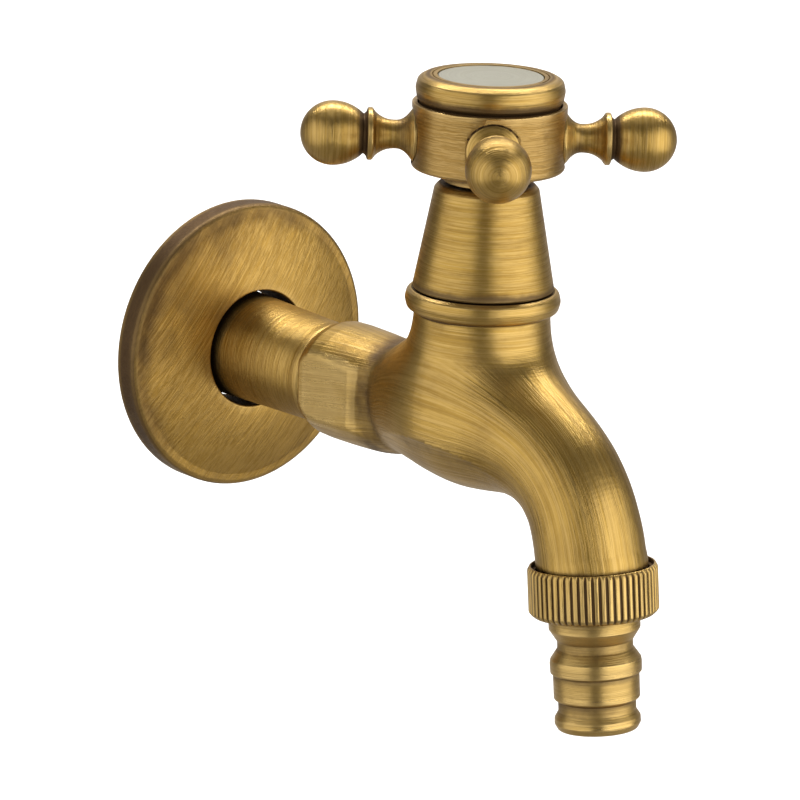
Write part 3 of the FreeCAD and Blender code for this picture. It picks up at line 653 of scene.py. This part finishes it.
add_patina_wear_and_painted_light(cap, lambda x, y, z: 0.55 * np.clip((HUB_TOP + 2.4 - z) / 1.2, 0, 1))
inlay_corners = [(0, CAP_TOP - 1.1), (9.67, CAP_TOP - 1.1), (9.67, CAP_TOP - 0.17, 0.1), (0, CAP_TOP - 0.17)]
inlay = lathe("cap_disc", inlay_corners, BONNET, 200, closed=False)
shape_report(cap)

# %% [markdown]
# ## Wall flange
#
# The flange is pressed from sheet and linished: a belt drags straight scratches across
# the whole face, so its brushing does not go round like the turned pieces, but runs
# across it in one direction. Its skirt is spun, but here it takes the same one-way scratches as the face.

# %% Flange
def belt_scratches(local):
    """Straight scratches in one direction, on the face and on the skirt alike."""
    lean = math.radians(52)
    u = local[:, 0] * math.cos(lean) + local[:, 1] * math.sin(lean)
    v = -local[:, 0] * math.sin(lean) + local[:, 1] * math.cos(lean)
    return np.stack([u * ALONG, v, local[:, 2] * 0.6], 1)


crown = [(r, 8.05 - 1.1 * ((r - 11.6) / 8.4) ** 1.6) for r in np.arange(26.0, 12.5, -0.9)]
flange_corners = [(27.1, 0.0), (28.28, 0.0, 0.15), (28.28, 5.12, 1.4), *crown, (11.62, 8.05, 0.35),
                  (10.88, 0.4, 0.1), (12.38, 0.4, 0.1), (12.38, 6.75, 0.3), (20.0, 5.75), (26.9, 4.0, 1.2)]
flange = lathe("flange_disc", flange_corners, INLET, 260, flow=belt_scratches)


def flange_painted_shade(x, y, z):
    """Painted shade: dark inside the hole and on the skirt, and darker toward the rounded rim and toward the
    upper left side.
    """
    out = np.hypot(x, z)
    hole = 0.9 * (y > -7.4) * (out < 14)
    rim = 0.32 * np.clip((out - 23) / 5, 0, 1)
    skirt = 0.35 * (out > 28.0)
    side = 0.28 * np.clip((z - x) / 30, 0, 1)
    return hole + rim + skirt + side


add_patina_wear_and_painted_light(flange, flange_painted_shade)
shape_report(flange)

# %% [markdown]
# ## Union nut and hose tail
#
# The nut is ribbed so that wet fingers can turn it. Each rib has a flat crown and a
# vee between it and the next, and the ribs die out into a chamfer at each end.

# %% Union nut
RIBS = 56


def nut_mesh():
    per_rib = 10
    around = RIBS * per_rib
    angle = np.arange(around) * 2 * math.pi / around
    phase = (np.arange(around) % per_rib) / per_rib
    vee = np.clip(1.32 - 4.6 * np.abs(phase - 0.5), 0, 1)
    vee = vee * vee * (3 - 2 * vee)
    rows = [(8.8, 9.28), (10.9, 9.28), (11.15, 9.25), (11.6, 8.88), (11.95, 8.45), (11.97, 8.2), (11.97, 4.6),
            (11.97, 1.0), (11.95, 0.75), (11.72, 0.35), (11.6, 0.08), (11.45, 0.02), (11.3, 0.02),
            (11.24, 0.08), (11.24, 0.9), (10.55, 0.95), (10.55, 5.0)]
    depth = [0, 0, 0, 0.55, 1, 1, 1, 1, 1, 0.8, 0.25, 0, 0, 0, 0, 0, 0]
    verts, brush, wear, cavity = [], [], [], []
    for a, cut in zip(angle, vee):
        for (r, s), d in zip(rows, depth):
            sunk = r - 0.42 * cut * d
            verts.append((sunk * math.cos(a), sunk * math.sin(a), s))
            brush.append((s * ALONG, sunk * math.cos(a) * 1.2, sunk * math.sin(a) * 1.2))
            wear.append(0.75 * (1 - cut) * (d > 0) + 0.5 * (d == 0) * (0.02 <= s < 0.1))
            cavity.append(0.8 * cut * d + 0.9 * (s > 0.3) * (r < 11.3) * (s < 6) + 0.5 * (r < 11))
    count = len(rows)
    faces = []
    for i in range(around):
        here, after = i * count, (i + 1) % around * count
        faces += [(here + k, here + k + 1, after + k + 1, after + k) for k in range(count - 1)]
    matrix = np.array(OUTLET)
    world = (np.array(verts) @ matrix[:3, :3].T + matrix[:3, 3]) * MM
    return finish_mesh("nut_ribbed", world, faces, brush, wear, np.clip(cavity, 0, 1), 50)


nut = nut_mesh()
shape_report(nut)

# %% Hose tail
tail_corners = [(6.6, 6.7), (10.1, 6.7, 0.1), (10.1, 7.9, 0.1), (8.42, 7.95), (8.42, 11.9, 0.5),
                (6.98, 14.15, 0.35), (6.98, 15.55, 0.3), (8.35, 17.55, 0.55), (8.47, 18.3, 0.35),
                (8.42, 20.0, 0.3), (7.95, 20.4, 0.12), (7.93, 24.9, 0.35), (7.17, 25.5, 0.15),
                (7.17, 27.3, 0.2), (7.9, 28.5, 0.35), (7.95, 29.6, 0.6), (7.3, 30.82, 0.7),
                (5.6, 30.82, 0.2), (5.25, 30.3, 0.2), (5.25, 13.0, 0.5)]
tail = lathe("tail_turned", tail_corners, OUTLET, 220)
add_patina_wear_and_painted_light(tail, lambda x, y, z: np.full(len(z), -0.12))
add_patina_wear_and_painted_light(tail, lambda x, y, z: np.full(len(z), 0.45), "wear")
shape_report(tail)

# %% [markdown]
# ## Who stands for whom
#
# Each finished piece rides on the body that it belongs to, and hides the plain design
# part that it stands for. The parts inside the tap keep their own meshes.

# %% Riding and replacing
def stand_for(piece, node, body):
    if node:
        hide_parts(node)
    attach(piece, body)


stand_for(casting, "body_casting", "tap_body")
for extra in (inlet_tube, inlet_thread, outlet_thread, mouth, bead):
    stand_for(extra, None, "tap_body")
stand_for(cover, "bonnet_cover", "tap_body")
stand_for(hub, "handle_hub", "handle")
stand_for(cap, "handle_cap", "handle")
stand_for(inlay, "cap_inlay", "handle")
for side, arm in zip(AZIMUTHS, arms):
    stand_for(arm, "handle_arm_" + side, "handle")
stand_for(flange, "wall_flange", "escutcheon")
stand_for(nut, "union_nut", "nut")
stand_for(tail, "hose_nipple", "hose_tail")
print("pieces replaced, the rest keep their own shape")

# %% [markdown]
# ## Node groups
#
# Three effects are shared by every brass part, so each is a node group of its own:
# the brushed grain, the patina that stays in recesses together with the painted shade and
# painted sheen that ride on it, and the colour that the two make together. The groups only
# work out values; the shader stays in the material.

# %% Small helpers for nodes
def new_group(name, inputs, outputs):
    tree = bpy.data.node_groups.new(name, "ShaderNodeTree")
    for label, kind, default in inputs:
        socket = tree.interface.new_socket(name=label, in_out="INPUT", socket_type="NodeSocket" + kind)
        if default is not None:
            socket.default_value = default
    for label, kind in outputs:
        tree.interface.new_socket(name=label, in_out="OUTPUT", socket_type="NodeSocket" + kind)
    return tree, tree.nodes.new("NodeGroupInput"), tree.nodes.new("NodeGroupOutput")


def node(tree, kind, links=None, **values):
    item = tree.nodes.new(kind)
    for key, value in values.items():
        if hasattr(item, key):
            setattr(item, key, value)
        else:
            item.inputs[key.replace("_", " ")].default_value = value
    for key, source in (links or {}).items():
        tree.links.new(source, item.inputs[key])
    return item


def maths(tree, operation, a, b=None, clamp=False):
    item = tree.nodes.new("ShaderNodeMath")
    item.operation = operation
    item.use_clamp = clamp
    for slot, source in ((0, a), (1, b)):
        if source is None:
            continue
        if isinstance(source, (int, float)):
            item.inputs[slot].default_value = source
        else:
            tree.links.new(source, item.inputs[slot])
    return item.outputs[0]


def ramp(tree, source, low, high, to_low=0.0, to_high=1.0):
    item = tree.nodes.new("ShaderNodeMapRange")
    item.interpolation_type = "SMOOTHSTEP"
    tree.links.new(source, item.inputs["Value"])
    for label, value in (("From Min", low), ("From Max", high), ("To Min", to_low), ("To Max", to_high)):
        item.inputs[label].default_value = value
    return item.outputs["Result"]


def mixed(tree, factor, a, b):
    item = tree.nodes.new("ShaderNodeMix")
    item.data_type = "RGBA"
    for slot, source in (("Factor", factor), ("A", a), ("B", b)):
        kind = "VALUE" if slot == "Factor" else "RGBA"
        socket = next(s for s in item.inputs if s.name == slot and s.type == kind)
        if isinstance(source, (int, float, tuple)):
            socket.default_value = source
        else:
            tree.links.new(source, socket)
    return next(s for s in item.outputs if s.type == "RGBA")


# %% Brushed grain
def make_grain():
    tree, source, sink = new_group("Brushed grain", [
        ("Vector", "Vector", None), ("Fine", "Float", 2.6), ("Coarse", "Float", 0.7)],
        [("Scratches", "Float"), ("Streaks", "Float"), ("Height", "Float")])
    way, small, large = (source.outputs[k] for k in ("Vector", "Fine", "Coarse"))
    fine = node(tree, "ShaderNodeTexNoise", {"Vector": way, "Scale": small}, Detail=3.0, Roughness=0.62)
    coarse = node(tree, "ShaderNodeTexNoise", {"Vector": way, "Scale": large}, Detail=3.0, Roughness=0.55)
    scratches = ramp(tree, fine.outputs["Fac"], 0.36, 0.64)
    streaks = ramp(tree, coarse.outputs["Fac"], 0.32, 0.68)
    deep = maths(tree, "MULTIPLY", scratches, 0.65)
    height = maths(tree, "ADD", deep, maths(tree, "MULTIPLY", streaks, 0.35))
    tree.links.new(scratches, sink.inputs["Scratches"])
    tree.links.new(streaks, sink.inputs["Streaks"])
    tree.links.new(height, sink.inputs["Height"])
    return tree


# %% Patina, polish and painted light
def make_patina_and_painted_light():
    tree, source, sink = new_group("Brown recesses, bright edges and painted light", [
        ("Cavity", "Float", 0.0), ("Wear", "Float", 0.0),
        ("Reach", "Float", 0.0035), ("Amount", "Float", 0.5)],
        [("Patina", "Float"), ("Polish", "Float"), ("Cloud", "Float")])
    place = node(tree, "ShaderNodeTexCoord")
    cloud = node(tree, "ShaderNodeTexNoise", {"Vector": place.outputs["Object"]},
                 Scale=95.0, Detail=4.0, Roughness=0.6)
    broad = ramp(tree, cloud.outputs["Fac"], 0.3, 0.7)
    shade = node(tree, "ShaderNodeAmbientOcclusion", {"Distance": source.outputs["Reach"]}, samples=8)
    hidden = maths(tree, "SUBTRACT", 1.0, shade.outputs["AO"])
    # Recess values carry the patina, and on the flange and the casting's shoulder painted shade as well.
    groove_and_shade = maths(tree, "MULTIPLY", source.outputs["Cavity"], 1.15)
    depth = maths(tree, "ADD", maths(tree, "MULTIPLY", hidden, 1.3), groove_and_shade)
    patchy = maths(tree, "MULTIPLY", maths(tree, "SUBTRACT", broad, 0.5), source.outputs["Amount"])
    grown = maths(tree, "ADD", depth, patchy)
    patina_and_shade = ramp(tree, grown, 0.12, 1.0)
    uneven = ramp(tree, cloud.outputs["Fac"], 0.25, 0.6, 0.35, 1.0)
    # Edge values carry the polish, and on the wrench flats a painted sheen as well.
    rub_and_sheen = maths(tree, "MULTIPLY", source.outputs["Wear"], uneven)
    clean = maths(tree, "SUBTRACT", 1.0, maths(tree, "MULTIPLY", patina_and_shade, 0.5))
    polish_and_sheen = maths(tree, "MULTIPLY", rub_and_sheen, clean, True)
    tree.links.new(patina_and_shade, sink.inputs["Patina"])
    tree.links.new(polish_and_sheen, sink.inputs["Polish"])
    tree.links.new(broad, sink.inputs["Cloud"])
    return tree


# %% Brass colour
def make_colour():
    tree, source, sink = new_group("Aged brass colour", [
        ("Patina", "Float", 0.0), ("Polish", "Float", 0.0), ("Cloud", "Float", 0.5), ("Streaks", "Float", 0.5),
        ("Scratches", "Float", 0.5), ("Bright", "Color", (0.80, 0.56, 0.215, 1)),
        ("Body", "Color", (0.53, 0.33, 0.075, 1)), ("Brown", "Color", (0.26, 0.145, 0.026, 1)),
        ("Dark", "Color", (0.088, 0.050, 0.026, 1))],
        [("Color", "Color"), ("Roughness", "Float")])
    get = source.outputs
    base = mixed(tree, maths(tree, "MULTIPLY", get["Cloud"], 0.5), get["Body"], get["Brown"])
    base = mixed(tree, maths(tree, "MULTIPLY", get["Streaks"], 0.46), base, get["Brown"])
    base = mixed(tree, maths(tree, "MULTIPLY", get["Scratches"], 0.34), base, get["Bright"])
    base = mixed(tree, maths(tree, "MULTIPLY", get["Patina"], 0.92), base, get["Dark"])
    base = mixed(tree, maths(tree, "MULTIPLY", get["Polish"], 0.8), base, get["Bright"])
    rough = maths(tree, "ADD", 0.31, maths(tree, "MULTIPLY", get["Patina"], 0.2))
    rough = maths(tree, "ADD", rough, maths(tree, "MULTIPLY", get["Streaks"], 0.08))
    rough = maths(tree, "SUBTRACT", rough, maths(tree, "MULTIPLY", get["Polish"], 0.08), True)
    tree.links.new(base, sink.inputs["Color"])
    tree.links.new(rough, sink.inputs["Roughness"])
    return tree


GRAIN, PATINA_AND_PAINTED_LIGHT, COLOUR = make_grain(), make_patina_and_painted_light(), make_colour()
print("node groups:", [g.name for g in bpy.data.node_groups])

# %% [markdown]
# ## Antique brass
#
# Antique brass is new brass that has been browned with a chemical, then brushed so that
# the high places come up gold again and the low places stay dark. The material is built
# in that order: gold underneath, brown over it in streaks, dark in every recess and in the
# painted shade, bright again on the edges and in the painted sheen. A bump from the same
# scratches stretches each reflection.

# %% The brass material
def use(tree, group, links=None, **values):
    item = tree.nodes.new("ShaderNodeGroup")
    item.node_tree = group
    for key, value in values.items():
        item.inputs[key].default_value = value
    for key, source in (links or {}).items():
        tree.links.new(source, item.inputs[key])
    return item


def attribute(tree, name):
    return node(tree, "ShaderNodeAttribute", attribute_name=name)


def new_material(name):
    material = bpy.data.materials.new(name)
    material.use_nodes = True
    tree = material.node_tree
    return material, tree, tree.nodes["Principled BSDF"]


def aged_brass(name, fine=3.2, coarse=1.0, amount=0.5, bump=0.35, two_way=False, tones=None, mess=0.0):
    material, tree, shader = new_material(name)
    way = attribute(tree, "brush").outputs["Vector"]
    if mess:
        place = node(tree, "ShaderNodeTexCoord")
        wander = node(tree, "ShaderNodeTexNoise", {"Vector": place.outputs["Object"]}, Scale=160.0, Detail=2.0)
        push = node(tree, "ShaderNodeVectorMath", {0: wander.outputs["Color"]}, operation="SCALE")
        push.inputs["Scale"].default_value = mess
        moved = node(tree, "ShaderNodeVectorMath", {0: way, 1: push.outputs["Vector"]}, operation="ADD")
        way = moved.outputs["Vector"]
    grain = use(tree, GRAIN, {"Vector": way}, Fine=fine, Coarse=coarse)
    values = [grain.outputs[k] for k in ("Scratches", "Streaks", "Height")]
    if two_way:
        round_way = attribute(tree, "brush_round").outputs["Vector"]
        other = use(tree, GRAIN, {"Vector": round_way}, Fine=fine, Coarse=coarse)
        share = attribute(tree, "round_share").outputs["Fac"]
        blended = []
        for label, value in zip(("Scratches", "Streaks", "Height"), values):
            lane = tree.nodes.new("ShaderNodeMix")
            tree.links.new(share, lane.inputs["Factor"])
            tree.links.new(value, lane.inputs["A"])
            tree.links.new(other.outputs[label], lane.inputs["B"])
            blended.append(lane.outputs["Result"])
        values = blended
    patina_and_shade = use(tree, PATINA_AND_PAINTED_LIGHT, {"Cavity": attribute(tree, "cavity").outputs["Fac"],
                                "Wear": attribute(tree, "wear").outputs["Fac"]}, Amount=amount)
    colour = use(tree, COLOUR, {"Patina": patina_and_shade.outputs["Patina"], "Polish": patina_and_shade.outputs["Polish"],
                                "Cloud": patina_and_shade.outputs["Cloud"], "Scratches": values[0], "Streaks": values[1]},
                 **(tones or {}))
    dent = node(tree, "ShaderNodeBump", {"Height": values[2]}, Strength=bump, Distance=0.00012)
    tree.links.new(colour.outputs["Color"], shader.inputs["Base Color"])
    tree.links.new(colour.outputs["Roughness"], shader.inputs["Roughness"])
    tree.links.new(dent.outputs["Normal"], shader.inputs["Normal"])
    shader.inputs["Metallic"].default_value = 1.0
    shader.inputs["Coat Weight"].default_value = 0.06
    shader.inputs["Coat Roughness"].default_value = 0.3
    return material


BRASS_TURNED = aged_brass("aged_brass_turned", fine=4.2, coarse=1.3)
BRASS_CAST = aged_brass("aged_brass_cast", two_way=True, fine=3.0, coarse=0.8)
BRASS_BELT = aged_brass("aged_brass_belt", fine=3.2, coarse=1.2, bump=0.35, amount=0.3, tones={
    "Body": (0.45, 0.265, 0.056, 1), "Bright": (0.68, 0.45, 0.15, 1)})
BRASS_HAND = aged_brass("aged_brass_hand", fine=3.4, coarse=1.6, amount=0.9, mess=0.8, tones={
    "Body": (0.43, 0.265, 0.08, 1), "Bright": (0.66, 0.45, 0.18, 1)})
BRASS_RIB = aged_brass("aged_brass_ribbed", fine=2.6, coarse=1.1)
BRASS_PALE = aged_brass("inlay_brass", fine=3.0, coarse=0.9, amount=0.2, bump=0.12, tones={
    "Bright": (0.66, 0.65, 0.54, 1), "Body": (0.58, 0.57, 0.46, 1), "Brown": (0.48, 0.46, 0.36, 1)})


# %% [markdown]
# ## Materials for the parts inside
#
# The headwork, the seals and the small hardware show only when the tap comes apart, or
# through the gaps, but each still gets the finish of its own trade: lathe rings on raw
# brass and steel, a mould's bloom on rubber, and a ground face on the ceramic.

# %% Turning rings
def make_rings():
    tree, source, sink = new_group("Turning rings", [("Pitch", "Float", 9000.0), ("Side", "Float", 0.3)],
                                   [("Rings", "Float"), ("Cloud", "Float")])
    place = node(tree, "ShaderNodeTexCoord")
    split = node(tree, "ShaderNodeSeparateXYZ", {"Vector": place.outputs["Object"]})
    out_y = maths(tree, "SUBTRACT", split.outputs["Y"], REACH * MM)
    square = maths(tree, "ADD", maths(tree, "MULTIPLY", split.outputs["X"], split.outputs["X"]),
                   maths(tree, "MULTIPLY", out_y, out_y))
    radius = maths(tree, "SQRT", square)
    lane = node(tree, "ShaderNodeCombineXYZ")
    tree.links.new(maths(tree, "MULTIPLY", radius, source.outputs["Pitch"]), lane.inputs["X"])
    tree.links.new(maths(tree, "MULTIPLY", split.outputs["Z"], source.outputs["Pitch"]), lane.inputs["Y"])
    rings = node(tree, "ShaderNodeTexNoise", {"Vector": lane.outputs["Vector"]}, Scale=1.0, Detail=2.0)
    cloud = node(tree, "ShaderNodeTexNoise", {"Vector": place.outputs["Object"]}, Scale=260.0, Detail=3.0)
    tree.links.new(ramp(tree, rings.outputs["Fac"], 0.3, 0.7), sink.inputs["Rings"])
    tree.links.new(ramp(tree, cloud.outputs["Fac"], 0.3, 0.7), sink.inputs["Cloud"])
    return tree


RINGS = make_rings()


# %% Materials that use the rings
def inside(name, dark, light, metallic, low, high, bump):
    """A finish made of two tones, its roughness range and the depth of its tool marks."""
    material, tree, shader = new_material(name)
    rings = use(tree, RINGS)
    tone = maths(tree, "ADD", maths(tree, "MULTIPLY", rings.outputs["Rings"], 0.5),
                 maths(tree, "MULTIPLY", rings.outputs["Cloud"], 0.5))
    tree.links.new(mixed(tree, tone, dark + (1,), light + (1,)), shader.inputs["Base Color"])
    rough = maths(tree, "ADD", low, maths(tree, "MULTIPLY", rings.outputs["Cloud"], high - low))
    tree.links.new(rough, shader.inputs["Roughness"])
    dent = node(tree, "ShaderNodeBump", {"Height": rings.outputs["Rings"]}, Strength=bump, Distance=0.0001)
    tree.links.new(dent.outputs["Normal"], shader.inputs["Normal"])
    shader.inputs["Metallic"].default_value = metallic
    return material


RAW_BRASS = inside("raw_brass", (0.62, 0.42, 0.15), (0.85, 0.63, 0.28), 1.0, 0.22, 0.38, 0.25)
STEEL = inside("stainless_steel", (0.42, 0.42, 0.43), (0.66, 0.66, 0.67), 1.0, 0.2, 0.36, 0.2)
RUBBER = inside("black_rubber", (0.012, 0.012, 0.013), (0.03, 0.03, 0.032), 0.0, 0.45, 0.7, 0.12)
NYLON = inside("white_nylon", (0.68, 0.66, 0.60), (0.80, 0.79, 0.74), 0.0, 0.35, 0.5, 0.1)
CERAMIC = inside("grey_ceramic", (0.62, 0.63, 0.64), (0.78, 0.78, 0.78), 0.0, 0.08, 0.2, 0.04)

# %% Put the materials on
FINISHES = [
    (BRASS_TURNED, (inlet_tube, inlet_thread, outlet_thread, mouth, bead, cover, tail, *arms, cap)),
    (BRASS_CAST, (casting,)), (BRASS_BELT, (flange,)), (BRASS_HAND, (hub,)), (BRASS_RIB, (nut,)),
    (BRASS_PALE, (inlay,))]
INSIDES = {
    RAW_BRASS: ("cartridge_housing", "spindle"),
    STEEL: ("retaining_ring", "screw_washer", "handle_screw"),
    RUBBER: ("bonnet_oring", "seat_seal", "spindle_orings", "union_washer"),
    NYLON: ("thrust_washer",),
    CERAMIC: ("fixed_ceramic_disc", "moving_ceramic_disc")}
for material, pieces in FINISHES:
    for piece in pieces:
        piece.data.materials.clear()
        piece.data.materials.append(material)
for material, names in INSIDES.items():
    for name in names:
        mesh = bpy.data.objects[name].data
        mesh.materials.clear()
        mesh.materials.append(material)
print(sum(len(p) for _, p in FINISHES), "pieces and", sum(map(len, INSIDES.values())), "inner parts finished")

# %% [markdown]
# ## The studio
#
# The tap hangs over a pale sweep: a floor that curves up into a backdrop. Its brushed
# metal is drawn by what it reflects, so two broad soft lights stand left and right of the
# camera with a darker gap between them, and the backdrop has a light of its own. The
# paper also turns darker in reflections than it looks, to keep the undersides deep.

# %% Sweep
FLOOR = -0.50
CENTRE_POINT = Vector((0.0, -0.0747, 0.022))
AZIMUTH, ELEVATION, ROLL = map(math.radians, (-39.99, 15.26, 1.93))
LEVEL = math.cos(ELEVATION)
BACK = Vector((math.sin(AZIMUTH) * LEVEL, -math.cos(AZIMUTH) * LEVEL, math.sin(ELEVATION)))
RIGHT = Vector((math.cos(AZIMUTH), math.sin(AZIMUTH), 0.0))
UP = BACK.cross(RIGHT)
AWAY = -Vector((BACK.x, BACK.y, 0)).normalized()


def sweep():
    """A floor that runs back from the camera and rises in a wide arc behind the tap."""
    line = [(-2.4 + 0.3 * i, 0.0) for i in range(12)]
    bend = 0.9
    turns = [t * math.pi / 40 for t in range(1, 21)]
    line += [(1.2 + bend * math.sin(a), bend - bend * math.cos(a)) for a in turns]
    line += [(2.1, 0.9 + 0.25 * i) for i in range(1, 8)]
    verts = []
    for along, high in line:
        for step in range(9):
            side = (step - 4) * 0.7
            lift = Vector((0, 0, FLOOR - CENTRE_POINT.z + high))
            verts.append(CENTRE_POINT + AWAY * along + RIGHT * side + lift)
    faces = [(i * 9 + k, i * 9 + k + 1, (i + 1) * 9 + k + 1, (i + 1) * 9 + k)
             for i in range(len(line) - 1) for k in range(8)]
    mesh = bpy.data.meshes.new("studio_sweep")
    mesh.from_pydata(verts, [], faces)
    mesh.shade_smooth()
    piece = bpy.data.objects.new("studio_sweep", mesh)
    bpy.context.collection.objects.link(piece)
    return piece


def paper():
    """Pale paper to look at, but a dimmer floor in the metal's reflections."""
    material, tree, shader = new_material("sweep_paper")
    place = node(tree, "ShaderNodeTexCoord")
    path = node(tree, "ShaderNodeLightPath")
    fibre = node(tree, "ShaderNodeTexNoise", {"Vector": place.outputs["Object"]}, Scale=320.0, Detail=3.0)
    seen = mixed(tree, fibre.outputs["Fac"], (0.82, 0.82, 0.82, 1), (0.85, 0.85, 0.85, 1))
    paper_tone = mixed(tree, path.outputs["Is Camera Ray"], (0.30, 0.29, 0.28, 1), seen)
    tree.links.new(paper_tone, shader.inputs["Base Color"])
    shader.inputs["Roughness"].default_value = 0.9
    shader.inputs["Specular IOR Level"].default_value = 0.1
    return material


backdrop = sweep()
backdrop.data.materials.append(paper())


# %% Lights
def soft_light(name, across, along, high, width, tall, power, aim=CENTRE_POINT):
    """A rectangular light placed by its distance right of, in front of, and above the tap."""
    data = bpy.data.lights.new(name, "AREA")
    data.shape = "RECTANGLE"
    data.size = width
    data.size_y = tall
    data.energy = power
    lamp = bpy.data.objects.new(name, data)
    bpy.context.collection.objects.link(lamp)
    lamp.location = CENTRE_POINT + RIGHT * across - AWAY * along + Vector((0, 0, high))
    lamp.rotation_euler = (aim - lamp.location).to_track_quat("-Z", "Y").to_euler()
    return lamp


soft_light("left_softbox", -0.78, 0.45, 0.08, 1.65, 1.15, 6.2)
soft_light("right_softbox", 0.77, 0.48, 0.08, 1.66, 1.15, 9.8)
soft_light("top_softbox", -0.05, 0.1, 1.1, 0.6, 0.5, 0.5)
BACKDROP = CENTRE_POINT + AWAY * 1.9 + Vector((0, 0, -0.1))
soft_light("backdrop_light", 0.0, -0.75, 1.2, 1.8, 0.7, 62, BACKDROP)
world = bpy.data.worlds.new("studio_air")
bpy.context.scene.world = world
world.use_nodes = True
world.node_tree.nodes["Background"].inputs["Color"].default_value = (1.0, 0.97, 0.90, 1)
world.node_tree.nodes["Background"].inputs["Strength"].default_value = 0.13

# %% Camera
eye = bpy.data.cameras.new("camera")
eye.lens = 222.70
eye.sensor_width = 36.0
eye.clip_start = 0.05
eye.clip_end = 20.0
camera = bpy.data.objects.new("camera", eye)
bpy.context.collection.objects.link(camera)
across = math.cos(ROLL) * RIGHT + math.sin(ROLL) * UP
upward = -math.sin(ROLL) * RIGHT + math.cos(ROLL) * UP
spot = CENTRE_POINT + (0.91647 * BACK - 0.01466 * RIGHT - 0.01699 * UP)
camera.matrix_world = Matrix((
    (across.x, upward.x, BACK.x, spot.x), (across.y, upward.y, BACK.y, spot.y),
    (across.z, upward.z, BACK.z, spot.z), (0, 0, 0, 1)))
bpy.context.scene.camera = camera
bpy.context.scene.view_settings.view_transform = "Standard"
